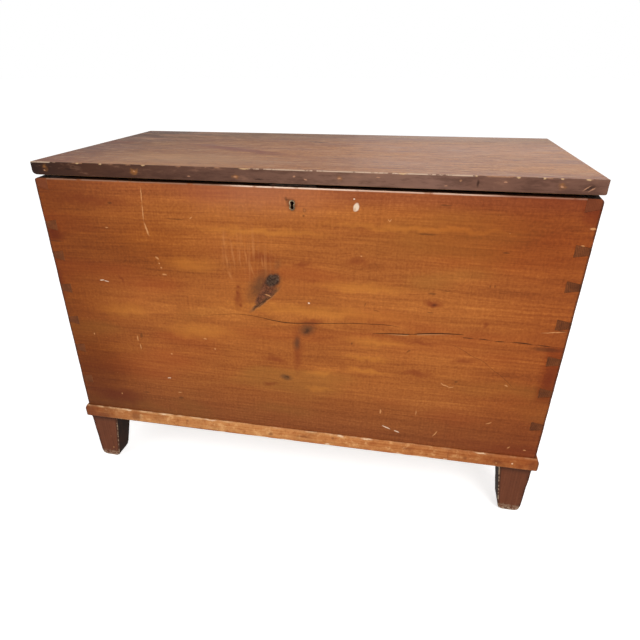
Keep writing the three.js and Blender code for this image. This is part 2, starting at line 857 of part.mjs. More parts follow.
// Bottom planks: the front one has the tongue and the rear one the groove
const plankHalfLength = innerHalfWidth + housingDepth - seatGap;
const plankAcross = [
  boardThickness - housingDepth + seatGap,
  backInnerFace + housingDepth - seatGap,
];
const plankJointY = caseDepth / 2;
const plankMiddleZ = (plankBottom + plankTop) / 2;
const plankSpan = [-plankHalfLength, plankHalfLength];
const plankHeights = [plankBottom, plankTop];

const frontPlank = join(toSolid(box(plankSpan, [plankAcross[0], plankJointY], plankHeights)), [
  box(
    plankSpan,
    [plankJointY - overrun, plankJointY + tongueLength],
    around(plankMiddleZ, tongueThickness),
  ),
]);
const rearPlank = cut(
  toSolid(box(plankSpan, [plankJointY + seatGap, plankAcross[1]], plankHeights)),
  [
    box(
      around(0, 2 * (plankHalfLength + overrun)),
      [plankJointY - overrun, plankJointY + tongueLength + seatGap],
      around(plankMiddleZ, tongueThickness + 2 * seatGap),
    ),
  ],
);
addPiece(caseGroup, "bottom_plank_front", frontPlank, plankPine);
addPiece(caseGroup, "bottom_plank_rear", rearPlank, plankPine);

// Feet. In a foot's frame the outer corner of the case is the origin, and inwards is signX and signY.
function foot(signX, signY) {
  const tapered = (z) => {
    const down = 1 - z / footHeight;
    const outer = footOuterTaper * down;
    const inner = footInnerTaper * down;
    return {
      z,
      x: span(signX * (footSideSetback + outer), signX * (footWidth - inner)),
      y: span(signY * outer, signY * (footDepth - inner)),
    };
  };
  // The lower edges follow a quarter of an ellipse
  const rounded = (share) => {
    const { z, x, y } = tapered(footEdgeHeight * share);
    const inset = 1 - Math.sqrt(1 - (1 - share) ** 2);
    const byX = footEdgeInsetX * inset;
    const byY = footEdgeInsetY * inset;
    return { z, x: [x[0] + byX, x[1] - byX], y: [y[0] + byY, y[1] - byY] };
  };
  const shoulder = footHeight - seatGap;
  const stub = {
    z: shoulder,
    x: span(signX * (boardThickness + seatGap), signX * (footWidth - footStubShoulder)),
    y: span(signY * (boardThickness + seatGap), signY * (footDepth - footStubShoulder)),
  };
  return loft([
    ...footEdgeShares.map(rounded),
    tapered(shoulder),
    stub,
    { ...stub, z: plankBottom - seatGap },
  ]);
}

const footPlaces = [
  { name: "foot_front_left", signX: 1, signY: 1 },
  { name: "foot_front_right", signX: -1, signY: 1 },
  { name: "foot_rear_left", signX: 1, signY: -1 },
  { name: "foot_rear_right", signX: -1, signY: -1 },
];
for (const { name, signX, signY } of footPlaces) {
  const corner = place(-signX * halfWidth, signY > 0 ? 0 : caseDepth, 0);
  addPiece(caseGroup, name, foot(signX, signY), footPine, corner);
}

export default chest;
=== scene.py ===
# %% [markdown]
# # An old dovetailed pine blanket chest
# Every piece of the chest is already cut to size in the frame that this script loads. What is left is what
# age and a maker's hands did to it: arrises knocked off their line, shellac gone orange and rubbed through,
# knots, a drying split, pale scratches. Each cell below adds one of these. The script works in metres, with
# +Z up, the keyhole towards -Y and the floor at z = 0.

# %% The frame
import json
import math

import bmesh
import bpy
from mathutils import Matrix, Vector, noise

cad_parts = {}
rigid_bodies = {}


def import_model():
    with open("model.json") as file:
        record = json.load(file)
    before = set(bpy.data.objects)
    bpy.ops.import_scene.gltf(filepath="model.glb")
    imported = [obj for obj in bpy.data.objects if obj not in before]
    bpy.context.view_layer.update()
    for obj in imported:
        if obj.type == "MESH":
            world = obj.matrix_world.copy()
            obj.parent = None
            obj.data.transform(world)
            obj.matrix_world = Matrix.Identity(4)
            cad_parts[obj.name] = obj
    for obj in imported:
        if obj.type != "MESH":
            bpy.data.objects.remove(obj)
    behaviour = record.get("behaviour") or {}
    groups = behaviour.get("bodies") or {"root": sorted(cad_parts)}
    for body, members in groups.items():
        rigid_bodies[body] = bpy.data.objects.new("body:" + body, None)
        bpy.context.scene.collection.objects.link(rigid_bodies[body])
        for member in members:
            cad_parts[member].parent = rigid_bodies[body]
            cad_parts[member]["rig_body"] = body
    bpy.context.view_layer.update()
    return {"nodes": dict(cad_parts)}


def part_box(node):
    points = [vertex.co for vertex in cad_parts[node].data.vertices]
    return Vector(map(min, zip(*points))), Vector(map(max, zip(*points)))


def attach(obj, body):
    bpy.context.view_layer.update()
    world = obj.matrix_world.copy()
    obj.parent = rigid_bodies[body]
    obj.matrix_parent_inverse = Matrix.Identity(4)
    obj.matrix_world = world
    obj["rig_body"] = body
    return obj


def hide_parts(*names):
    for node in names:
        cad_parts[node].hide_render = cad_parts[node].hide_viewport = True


MM = 0.001
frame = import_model()

front_low, front_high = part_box("front_board")
back_low, back_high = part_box("back_board")
lid_low, lid_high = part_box("lid_board")
moulding_low, moulding_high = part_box("base_moulding_front")
foot_low, foot_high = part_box("foot_front_left")
CASE_TOP = front_high.z
CASE_FOOT = front_low.z
CASE_FRONT = front_low.y
CASE_BACK = back_high.y
HALF_WIDTH = front_high.x
BOARD = front_high.y - front_low.y
print("case", HALF_WIDTH * 2, "wide and", CASE_TOP - CASE_FOOT, "high; boards", BOARD, "thick in front and",
      back_high.y - back_low.y, "behind; a foot and its stub", foot_high.z - foot_low.z)

# %% [markdown]
# ## The camera
# The photograph was taken standing close, a little right of the middle, with a wide lens that looks down.
# A pinhole camera was fitted to the corners of the case and the lid, which gives its place, its turn and
# the two small shifts that a cropped picture needs. A camera looks along its own -Z, so its axes are put
# together from the direction of view instead of being guessed as three angles.

# %% The camera
CAMERA_PLACE = Vector((0.2137, -1.1846, 0.876))
CAMERA_DOWN = math.radians(29.2)
CAMERA_TURN = math.radians(11.82)
CAMERA_ROLL = math.radians(-0.31)
CAMERA_LENS = 29.77
CAMERA_SHIFT = (0.0267, 0.058)
CAMERA_NEAREST = 10 * MM


def aim(place, down, turn, roll):
    """A camera's matrix from where it stands and how far it looks down, turns to the left and rolls."""
    flat = Vector((-math.sin(turn), math.cos(turn), 0))
    ahead = flat * math.cos(down) - Vector((0, 0, math.sin(down)))
    side = ahead.cross(Vector((0, 0, 1))).normalized()
    above = side.cross(ahead)
    right = side * math.cos(roll) + above * math.sin(roll)
    up = above * math.cos(roll) - side * math.sin(roll)
    turned = Matrix((right, up, -ahead)).transposed()
    return Matrix.Translation(place) @ turned.to_4x4()


def make_camera():
    data = bpy.data.cameras.new("photo_camera")
    data.lens = CAMERA_LENS
    data.shift_x, data.shift_y = CAMERA_SHIFT
    data.clip_start = CAMERA_NEAREST
    camera = bpy.data.objects.new("photo_camera", data)
    bpy.context.scene.collection.objects.link(camera)
    camera.matrix_world = aim(CAMERA_PLACE, CAMERA_DOWN, CAMERA_TURN, CAMERA_ROLL)
    bpy.context.scene.camera = camera


make_camera()
bpy.context.scene.view_settings.view_transform = "Standard"
print("the camera stands", CAMERA_PLACE.z, "above the floor, with a lens of", CAMERA_LENS, "mm")

# %% [markdown]
# ## Writing shaders as sums
# A node tree is a sum drawn as boxes. It reads better written as a sum, so one small class holds an output
# socket, and `+`, `-`, `*` and `/` on it add the Math nodes. Every other node comes from its `node` method.

# %% A wire between shader nodes
class Wire:
    """An output socket of a material's tree. Sums with it add Math nodes."""

    def __init__(self, tree, socket=None):
        self.tree = tree
        self.socket = socket

    def node(self, kind, settings=None, inputs=None, output=0):
        """Any node: its settings, then values or wires for its sockets, and the output to go on with."""
        made = self.tree.nodes.new(kind)
        for name, value in (settings or {}).items():
            if name == "stops":
                lay_stops(made.color_ramp, value)
            elif name == "points":
                lay_points(made.mapping, value)
            else:
                setattr(made, name, value)
        for key, value in (inputs or {}).items():
            if isinstance(value, Wire):
                self.tree.links.new(value.socket, made.inputs[key])
            else:
                made.inputs[key].default_value = value
        return Wire(self.tree, made.outputs[output] if made.outputs else None)

    def math(self, operation, *values):
        return self.node("ShaderNodeMath", {"operation": operation}, dict(enumerate(values)))

    def __add__(self, other):
        return self.math("ADD", self, other)

    def __sub__(self, other):
        return self.math("SUBTRACT", self, other)

    def __rsub__(self, other):
        return self.math("SUBTRACT", other, self)

    def __mul__(self, other):
        return self.math("MULTIPLY", self, other)

    def __truediv__(self, other):
        return self.math("DIVIDE", self, other)

    def __pow__(self, other):
        return self.math("POWER", self, other)

    __radd__ = __add__
    __rmul__ = __mul__

    def size(self):
        return self.math("ABSOLUTE", self)

    def most(self, other):
        return self.math("MAXIMUM", self, other)

    def least(self, other):
        return self.math("MINIMUM", self, other)

    def rise(self, low, high):
        """0 below low, 1 above high and a smooth step between them. It falls where low is the larger."""
        inputs = {"Value": self, "From Min": low, "From Max": high}
        return self.node("ShaderNodeMapRange", {"interpolation_type": "SMOOTHSTEP"}, inputs)


def lay_stops(ramp, stops):
    """Sets a colour ramp's stops, each a place from 0 to 1 and a colour."""
    while len(ramp.elements) > 1:
        ramp.elements.remove(ramp.elements[-1])
    for i, (place, colour) in enumerate(stops):
        element = ramp.elements[0] if i == 0 else ramp.elements.new(place)
        element.position = place
        element.color = colour


def lay_points(mapping, points):
    """Sets a float curve's points, each from 0 to 1 both ways."""
    curve = mapping.curves[0]
    curve.points[0].location = points[0]
    curve.points[1].location = points[-1]
    for point in points[1:-1]:
        curve.points.new(*point)
    mapping.update()


def paint(red, green, blue):
    """A colour as a paint box gives it, 0 to 255, in the linear values that shaders use."""
    def linear(value):
        share = value / 255
        return share / 12.92 if share <= 0.04045 else ((share + 0.055) / 1.055) ** 2.4

    return (linear(red), linear(green), linear(blue), 1.0)


def mix(share, first, second, kind="MIX"):
    """The first colour turning into the second as share goes from 0 to 1."""
    wire = next(value for value in (share, first, second) if isinstance(value, Wire))
    settings = {"data_type": "RGBA", "blend_type": kind, "clamp_factor": True}
    return wire.node("ShaderNodeMix", settings, {0: share, 6: first, 7: second}, output=2)


def new_material(name):
    """A bare material and the wire to begin its sums with."""
    material = bpy.data.materials.new(name)
    material.use_nodes = True
    material.node_tree.nodes.clear()
    return material, Wire(material.node_tree)


# How much an old worn film of shellac mirrors, where a new one has 0.5
OLD_FILM = 0.1


def finish_surface(start, inputs, relief, strength, depth):
    """Ends a material in one Principled shader. relief is the height of its small bumps."""
    bumps = {"Strength": strength, "Distance": depth, "Height": relief}
    normal = start.node("ShaderNodeBump", {}, bumps)
    surface = start.node("ShaderNodeBsdfPrincipled", {}, {**inputs, "Normal": normal})
    start.node("ShaderNodeOutputMaterial", {}, {"Surface": surface})


def finish_wood(start, colour, roughness, relief, strength=0.35, depth=0.5 * MM, mirror=OLD_FILM):
    """Ends a material of wood, bare or under its old shellac."""
    inputs = {"Base Color": colour, "Roughness": roughness, "Specular IOR Level": mirror}
    finish_surface(start, inputs, relief, strength, depth)


# %% [markdown]
# ## A pale studio
# The floor and the world are white to the camera and in reflections, but give the chest only a plain level
# of light, so a colour shows about as it is written. The floor stays a matt surface under that white, so the
# chest keeps its shadow. The key light stands in front and to the right, and a long soft one behind the
# chest on the right lays the milky sheen over the lid.

# %% The studio
FLOOR_SIZE = 60.0
FLOOR_WHITE = 0.8
FLOOR_GLOW = 0.68
WORLD_LEVEL = 0.47
# Each lamp: where it stands, what it looks at, its width and height, and its watts
LAMPS = {
    "key_light": ((1.6, -2.6, 2.4), (0.1, 0, 0.4), 1.6, 1.6, 62),
    "fill_light": ((-2.2, -2.2, 1.5), (0, 0, 0.4), 1.6, 1.6, 16),
    "sheen_light": ((0.9, 2.6, 1.7), (0.2, 0, 0.7), 2.4, 1.2, 13),
}


def seen_directly(start):
    """1 for what the camera sees, straight or in a reflection or through glass, and 0 for light on things."""
    path = start.tree.nodes.new("ShaderNodeLightPath")
    wires = [Wire(start.tree, path.outputs[name]) for name in (
        "Is Camera Ray", "Is Glossy Ray", "Is Transmission Ray")]
    return wires[0].most(wires[1]).most(wires[2])


def make_floor():
    material, start = new_material("studio_floor")
    matt = start.node("ShaderNodeBsdfDiffuse", {}, {"Color": (FLOOR_WHITE,) * 3 + (1,)})
    glow = start.node("ShaderNodeEmission", {}, {"Strength": seen_directly(start) * FLOOR_GLOW})
    both = start.node("ShaderNodeAddShader", {}, {0: matt, 1: glow})
    start.node("ShaderNodeOutputMaterial", {}, {"Surface": both})
    bm = bmesh.new()
    bmesh.ops.create_grid(bm, x_segments=1, y_segments=1, size=FLOOR_SIZE / 2)
    mesh = bpy.data.meshes.new("studio_floor")
    bm.to_mesh(mesh)
    bm.free()
    floor = bpy.data.objects.new("studio_floor", mesh)
    mesh.materials.append(material)
    bpy.context.scene.collection.objects.link(floor)


def make_world():
    world = bpy.data.worlds.new("studio_world")
    bpy.context.scene.world = world
    world.use_nodes = True
    world.node_tree.nodes.clear()
    start = Wire(world.node_tree)
    level = WORLD_LEVEL + seen_directly(start) * (1 - WORLD_LEVEL)
    sky = start.node("ShaderNodeBackground", {}, {"Color": (1, 1, 1, 1), "Strength": level})
    start.node("ShaderNodeOutputWorld", {}, {"Surface": sky})


def soft_light(name, place, target, width, height, power):
    data = bpy.data.lights.new(name, "AREA")
    data.shape = "RECTANGLE"
    data.size, data.size_y = width, height
    data.energy = power
    lamp = bpy.data.objects.new(name, data)
    bpy.context.scene.collection.objects.link(lamp)
    lamp.location = place
    lamp.rotation_euler = (Vector(target) - Vector(place)).to_track_quat("-Z", "Y").to_euler()


make_floor()
make_world()
for lamp_name, lamp in LAMPS.items():
    soft_light(lamp_name, *lamp)
print(len(LAMPS), "lamps over a floor", FLOOR_SIZE, "across")

# %% [markdown]
# ## Copies that can be worked on
# A node of the frame is a set of loose triangles, and its mesh must stay as it is. So a piece that needs
# worn edges starts from a copy: the corners that meet are welded, and flat neighbours dissolve into whole
# faces. Then the copy is scored across its length, because an edge without points along it can't wander.

# %% Working on a copy
WELD = 0.01 * MM
FLAT = math.radians(1)
SHARP = math.radians(30)
CREASE = SHARP * 1.4


def solid_copy(name):
    bm = bmesh.new()
    bm.from_mesh(frame["nodes"][name].data)
    for face in bm.faces:
        face.material_index = 0
    bmesh.ops.remove_doubles(bm, verts=bm.verts, dist=WELD)
    bmesh.ops.dissolve_limit(bm, angle_limit=FLAT, verts=bm.verts, edges=bm.edges)
    return bm


def span_of(bm):
    """The lowest and highest corner of a mesh."""
    places = [vert.co for vert in bm.verts]
    low = Vector([min(place[i] for place in places) for i in range(3)])
    high = Vector([max(place[i] for place in places) for i in range(3)])
    return low, high


def score(bm, axis, places):
    """Cuts a mesh across an axis at each place, without parting it."""
    normal = Vector([float(i == axis) for i in range(3)])
    for place in places:
        parts = bm.verts[:] + bm.edges[:] + bm.faces[:]
        bmesh.ops.bisect_plane(bm, geom=parts, plane_co=normal * place, plane_no=normal, dist=WELD)


def steps(low, high, pitch):
    """Even places between two limits, about a pitch apart, without the limits."""
    count = max(1, round((high - low) / pitch))
    return [low + (high - low) * i / count for i in range(1, count)]


def arrises(bm, lies_there):
    """The sharp outward edges whose two ends both pass a test."""
    found = []
    for edge in bm.edges:
        if len(edge.link_faces) != 2 or not all(lies_there(vert.co) for vert in edge.verts):
            continue
        if edge.is_convex and edge.calc_face_angle(0) > SHARP:
            found.append(edge)
    return found


def ease(bm, edges, amount, segments=2):
    """Rounds edges over, and gives back the corners that this made."""
    made = bmesh.ops.bevel(
        bm,
        geom=edges,
        offset=amount,
        offset_type="OFFSET",
        segments=segments,
        profile=0.5,
        affect="EDGES",
        clamp_overlap=True,
        material=-1,
    )
    return made["verts"]


def wander(place, pitch, seed):
    """A smooth value between about -1 and 1 that changes over one pitch."""
    return noise.noise(place / pitch + Vector((seed, 2 * seed, 3 * seed)))


# Each knock: how deep, over what length it changes, and the seed of its noise
KNOCKS = {
    "case corner": (0.5 * MM, 30 * MM, 1.3),
    "case top": (0.6 * MM, 26 * MM, 4.1),
    "lid": (0.8 * MM, 24 * MM, 11.3),
    "moulding": (0.9 * MM, 16 * MM, 7.7),
    "foot": (0.8 * MM, 22 * MM, 9.1),
}
KNOCK_LEVEL = 0.35
FINE_KNOCKS = 0.5


def knock(verts, kind):
    """Moves eased corners inwards by a wandering amount, as years of handling do."""
    depth, pitch, seed = KNOCKS[kind]
    moves = []
    for vert in verts:
        if vert.is_valid:
            fine = FINE_KNOCKS * wander(vert.co, pitch / 4, seed)
            amount = max(0.0, KNOCK_LEVEL + wander(vert.co, pitch, seed) + fine)
            moves.append((vert, vert.normal * -depth * amount))
    for vert, move in moves:
        vert.co += move


def publish(bm, node, materials):
    """Makes the worked copy a piece of the chest in place of its node, riding on the node's body."""
    name = node + "_worn"
    mesh = bpy.data.meshes.new(name)
    bmesh.ops.recalc_face_normals(bm, faces=bm.faces)
    for face in bm.faces:
        face.smooth = True
    for edge in bm.edges:
        edge.smooth = edge.calc_face_angle(math.pi) < CREASE
    bm.to_mesh(mesh)
    bm.free()
    for material in materials:
        mesh.materials.append(material)
    piece = bpy.data.objects.new(name, mesh)
    bpy.context.scene.collection.objects.link(piece)
    weighted = piece.modifiers.new("weighted", "WEIGHTED_NORMAL")
    weighted.keep_sharp = True
    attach(piece, frame["nodes"][node]["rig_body"])
    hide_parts(node)
    return piece


# %% [markdown]
# ## What old pine looks like
# A board is a slice through a stack of growth rings, so its figure is a solid pattern: long streaks on the
# face, close lines on the edge and arcs on the end. One function measures how far a point lies from the
# middle of the tree and stretches noise along that distance, which gives all three at once. Over that go
# fine fibres and a slow drift of colour.

# %% The grain of a board
def split(point):
    """The x, y and z of a vector."""
    parts = point.tree.nodes.new("ShaderNodeSeparateXYZ")
    point.tree.links.new(point.socket, parts.inputs[0])
    return [Wire(point.tree, output) for output in parts.outputs]


def joined(*values):
    wire = next(value for value in values if isinstance(value, Wire))
    return wire.node("ShaderNodeCombineXYZ", {}, dict(enumerate(values)))


def cloud(point, scale=1.0, detail=2.0, rough=0.5, output=0):
    """Noise from 0 to 1, with a mean of a half."""
    inputs = {"Vector": point, "Scale": scale, "Detail": detail, "Roughness": rough}
    return point.node("ShaderNodeTexNoise", {"noise_dimensions": "3D"}, inputs, output)


def object_point(start):
    return start.node("ShaderNodeTexCoord", {}, {}, output=3)


# The heart of a tree wanders by this much, slowly along the board and faster across it
SWAY = 30 * MM
SWAY_ALONG, SWAY_ACROSS = 0.9, 2.5


class Grain:
    """How a board's growth rings lie: along its length, and as a distance from the heart of the tree."""

    def __init__(self, point, order, heart, pith, seed):
        place = split(point)
        along, across, deep = ["xyz".index(letter) for letter in order]
        self.along = place[along]
        self.across = place[across]
        self.deep = place[deep]
        drift = joined(self.along * SWAY_ALONG + seed, self.across * SWAY_ACROSS, self.deep * SWAY_ACROSS)
        sway = (cloud(drift, detail=1.0) - 0.5) * SWAY
        side = self.across - heart + sway
        depth = self.deep - pith
        self.ring = (side * side + depth * depth) ** 0.5
        self.seed = seed

    def streaks(self, length=0.7, width=11 * MM, detail=5.0, rough=0.62):
        """Long streaks that follow the rings."""
        stretched = joined(self.along / length + self.seed, self.ring / width, self.seed)
        return cloud(stretched, detail=detail, rough=rough)

    def fibres(self):
        """The short fine lines of the wood's own cells."""
        return cloud(joined(self.along * 24, self.ring * 1100, self.seed), detail=2.0)

    def patches(self, length=0.35, width=0.09):
        stretched = joined(self.along / length, self.across / width, self.seed + 5)
        return cloud(stretched, detail=2.0)

    def late_wood(self, pitch):
        """The dark line that closes each year's ring, from 0 to 1."""
        year = self.ring / pitch + cloud(joined(self.along * 2, self.ring * 40, self.seed)) * 1.5
        turn = year.math("FRACT", year)
        return turn.rise(0.45, 0.95) * turn.rise(1.0, 0.96)


# %% [markdown]
# Every piece of wood needs its own place in a tree, or two neighbours would show the same figure. The table
# holds them all: the axes that run along, across and through the piece, where the heart lies on the second
# and the pith on the third, and a seed for the noise.

# %% The pieces' places in their trees
# How far from a board's face the pith usually lies
PITH_GAP = 0.03
TREES = {
    "front": ("xzy", 0.299, CASE_FRONT + PITH_GAP, 3.0),
    "left side": ("yzx", 0.40, -HALF_WIDTH - PITH_GAP, 11.0),
    "right side": ("yzx", 0.36, HALF_WIDTH + PITH_GAP, 17.0),
    "back": ("xzy", 0.40, CASE_BACK + PITH_GAP, 23.0),
    "pins": ("yzx", 0.40, 0.0, 29.0),
    "tails": ("xzy", 0.42, CASE_FRONT + PITH_GAP, 31.0),
    "long inside": ("xzy", 0.41, CASE_FRONT + 0.04, 37.0),
    "short inside": ("yzx", 0.40, 0.53, 41.0),
    "lid": ("xyz", 0.02, lid_low.z - PITH_GAP, 47.0),
    "lid ends": ("xyz", 0.02, lid_low.z - PITH_GAP, 53.0),
    "lid underside": ("xyz", 0.02, lid_low.z - 0.05, 59.0),
    "moulding front": ("xzy", 0.10, CASE_FRONT, 61.0),
    "moulding sides": ("yzx", 0.10, 0.0, 67.0),
    "foot": ("zxy", 0.0, 0.0, 71.0),
    "foot inside": ("zxy", 0.0, 0.0, 73.0),
    "planks": ("xyz", 0.05, 0.10, 73.0),
    "battens": ("yxz", 0.2, 0.6, 79.0),
    "stopping": ("xzy", 0.10, CASE_FRONT, 83.0),
}
print(len(TREES), "places in trees")

# %% [markdown]
# ## Marks
# Nicks, knots and stains are leaf shapes: a point is moved into the mark's own frame, where the mark is a
# circle of radius 1, and its distance from the middle says how far inside it lies. Lines that wander along
# a board, such as the split, are curves of height over length.

# %% Marks on a face
def leaf(point, place, size, turn=0.0, edge=0.6, flat=1, under=0.0):
    """1 in the middle of a mark, and under outside it. flat is the axis that the face looks along."""
    spins = [0.0, 0.0, 0.0]
    spins[flat] = turn
    inputs = {"Vector": point, "Location": place, "Rotation": spins, "Scale": size}
    own = point.node("ShaderNodeMapping", {"vector_type": "TEXTURE"}, inputs)
    inside = own.node("ShaderNodeTexGradient", {"gradient_type": "SPHERICAL"}, {"Vector": own}, output=1)
    limits = {"Value": inside, "From Min": 0.0, "From Max": edge, "To Min": under, "To Max": 1.0}
    return inside.node("ShaderNodeMapRange", {"interpolation_type": "SMOOTHSTEP"}, limits)


def strongest(masks):
    whole = masks[0]
    for mask in masks[1:]:
        whole = whole.most(mask)
    return whole


def shaken(point, amount, pitch, detail=2.0):
    """The point moved about a little, so that what is drawn on it has an uneven outline."""
    shift = point.node(
        "ShaderNodeVectorMath",
        {"operation": "SUBTRACT"},
        {0: cloud(point, scale=1 / pitch, detail=detail, output=1), 1: (0.5, 0.5, 0.5)},
    )
    return point.node(
        "ShaderNodeVectorMath",
        {"operation": "MULTIPLY_ADD"},
        {0: shift, 1: (amount,) * 3, 2: point},
    )


def height_line(along, points, low, high):
    """A value in metres that follows points given in millimetres, as a curve over the length."""
    first, last = points[0][0], points[-1][0]
    shares = [((x - first) / (last - first), (z - low) / (high - low)) for x, z in points]
    share = (along - first * MM) / ((last - first) * MM)
    curve = along.node("ShaderNodeFloatCurve", {"points": shares}, {"Value": share})
    return curve * ((high - low) * MM) + low * MM


# %% [markdown]
# ## The front board
# The front is the face that everyone looks at, so its marks are placed one by one, in millimetres from the
# middle of the board and above its lower edge. The grain runs round each knot: its streaks follow the lines
# that water takes round a stone.

# %% The marks of the front board
# Each knot: x, height, radius
KNOTS = [
    (-45, 364, 17), (-92, 322, 11), (28, 273, 12), (6, 243, 9), (-18, 159, 9), (264, 352, 9), (124, 423, 12),
]
# The three parts of the split: x and height, then x and width, and the lowest and highest that a curve holds
SPLIT_HEIGHTS = [
    [(-286, 289), (-230, 286), (-190, 288), (-150, 293), (-110, 297), (-70, 294), (-38, 289), (-10, 287),
     (30, 290), (70, 293), (110, 297), (150, 299), (178, 300), (208, 298)],
    [(158, 279), (190, 282), (230, 284.5), (246, 287), (270, 290), (302, 292.5), (328, 293)],
    [(326, 287), (346, 287), (364, 287), (390, 285), (414, 286), (434, 286), (450, 285), (508, 283)],
]
SPLIT_WIDTHS = [
    [(-286, 0.1), (-190, 0.5), (-110, 0.8), (-70, 1.2), (-20, 1.8), (30, 1.6), (110, 1.1), (150, 1.2),
     (208, 0.2)],
    [(158, 0.1), (176, 1.6), (225, 2.2), (232, 1.0), (246, 2.3), (300, 2.1), (328, 0.3)],
    [(326, 0.2), (336, 1.5), (350, 0.2), (366, 1.5), (382, 0.2), (396, 1.9), (408, 0.3), (424, 1.6),
     (440, 2.2), (456, 0.2), (474, 1.6), (490, 0.3), (508, 1.3)],
]
SPLIT_LIMITS = (269, 309)
SPLIT_WIDTH_LIMITS = (0, 4)
ARC_SCRATCH = [
    (284, 279), (330, 261), (350, 249), (370, 241), (390, 225), (410, 211), (430, 193), (446, 175),
    (456, 151),
]
ARC_LIMITS = (140, 290)
print("the split has", sum(len(part) for part in SPLIT_HEIGHTS), "points in", len(SPLIT_HEIGHTS), "parts")

# Each mark: x, height, half length, half width, and its turn in degrees, down to the right
PALE_MARKS = [
    (-290, 526, 18, 1.5, -86), (-292, 494, 20, 1.4, 93), (-289.5, 462, 17, 2.5, 77),
    (-276, 405, 5.6, 2.7, 40), (-273, 394, 2.4, 1.9, 0), (-270, 385, 2.7, 2.2, 0), (-265, 371, 6.5, 2.2, 5),
    (-374, 461, 4, 1.6, 0), (-196, 488, 4.5, 1.4, -40), (-453, 220, 2, 3, 0), (-349, 219, 9, 1.8, 92),
    (-345, 199, 9, 1.7, 86), (-274, 188, 3, 2.6, 0), (-172, 211, 2.5, 3, 0), (-192, 233, 5, 1.8, 0),
    (-267, 89, 6.5, 1.8, -10), (-414, 68, 1.8, 3, 0), (128, 434, 2.2, 1.7, 0), (176, 501, 4.5, 1.1, -55),
    (173, 501, 3.5, 1.0, 50), (308, 178, 12, 1.4, 18), (320, 175, 7, 1.3, -20), (303, 180, 6, 1.2, 40),
    (302, 57, 11, 1.7, -60), (185, 98, 2.2, 8, 0), (258, 105, 1.2, 7, 0), (404, 99, 8, 1.4, -25),
    (452, 44, 4.5, 1.8, -50), (484, 42, 4, 1.9, 0), (422, 191, 4.5, 1.9, 30), (494, 474, 4, 1.5, 0),
    (-51, 343, 9, 1.7, 16), (483, 312.5, 26, 1.1, -8), (503, 503, 6, 2.6, 0),
]
RIPPLES = [
    (-133, 450, 28, 4.0, 90), (-131, 412, 26, 4.2, 87), (-126, 380, 16, 3.6, 68), (-118, 425, 44, 3.4, 84),
    (-104, 420, 30, 3.0, 88), (-82, 398, 28, 3.0, 74), (-92, 420, 26, 2.6, 84), (-60, 410, 18, 2.6, 86),
]
WHITE_MARKS = [
    (115, 521, 5.8, 9.0, 14), (111, 535, 2.0, 1.5, 0), (31, 333, 2.6, 1.9, 0), (200, 59, 11, 1.5, 22),
    (222.5, 51.5, 7, 1.5, 20), (-407, 349, 6, 1.2, -6), (-397, 347.5, 6, 1.1, 8), (-288, 125, 5, 1.3, -10),
]
DARK_MARKS = [
    (-225, 484, 27, 1.5, 0), (-358, 509, 7, 3, 0), (239, 480, 22, 2.0, 0), (266, 531, 13, 2.0, 0),
    (286, 378, 13, 1.3, 0), (376, 455, 8, 2.1, 0), (162, 328, 8, 1.3, 4), (140, 339, 1.5, 6.5, 20),
    (118, 253, 3, 4, 0), (-350, 79, 9, 2.1, 0), (-339, 227, 4.4, 9, 10), (-266, 75, 9, 4.4, 0),
    (262, 371, 10, 3, 0), (262, 333, 8, 1.8, 0), (230, 248, 7, 2.4, -40), (22.8, 511.8, 4.6, 5, 0),
    (21, 502, 2.8, 3.4, 0), (360, 392, 1.8, 4.5, 0), (368, 393, 1.6, 4, 0), (328, 189, 4, 3, 0),
    (495, 317, 16, 2.2, 12), (-11, 531, 4, 5, 0), (478, 277, 38, 7, 0), (-494, 427, 20, 2.0, 0),
]
RED_MARKS = [
    (122, 423, 30, 15, -4), (14, 411, 26, 9, 0), (362, 319, 7, 12, -10), (264, 351, 22, 7, 6),
    (250, 266, 40, 6, 0), (334, 237, 34, 9, -10), (250, 199, 38, 10, 0), (-490, 442, 30, 17, 0),
    (-506, 330, 18, 90, 0), (9, 223, 16, 72, 0), (-42, 199, 42, 10, 14), (-54, 137, 22, 10, 0),
    (498, 214, 21, 72, 0), (-112, 335, 14, 34, 0), (-360, 352, 5, 18, -17), (-60, 419, 40, 14, 0),
    (40, 294, 40, 10, 0), (-400, 512, 130, 18, 0), (500, 524, 22, 26, 0), (-420, 60, 90, 30, 0),
]
AMBER_MARKS = [
    (150, 220, 76, 9, 0), (154, 191, 66, 8, 0), (58, 178, 46, 13, -10), (56, 137, 52, 8, 0),
    (40, 316, 260, 20, 0), (-200, 250, 120, 26, 0), (170, 262, 100, 16, 0), (-370, 285, 90, 24, 0),
    (-60, 469, 190, 12, 0), (230, 488, 240, 9, 0), (130, 372, 130, 16, 0), (-210, 395, 90, 24, 0),
]
FRONT_TABLES = (PALE_MARKS, RIPPLES, WHITE_MARKS, DARK_MARKS, RED_MARKS, AMBER_MARKS)
print(sum(len(table) for table in FRONT_TABLES), "marks on the front")
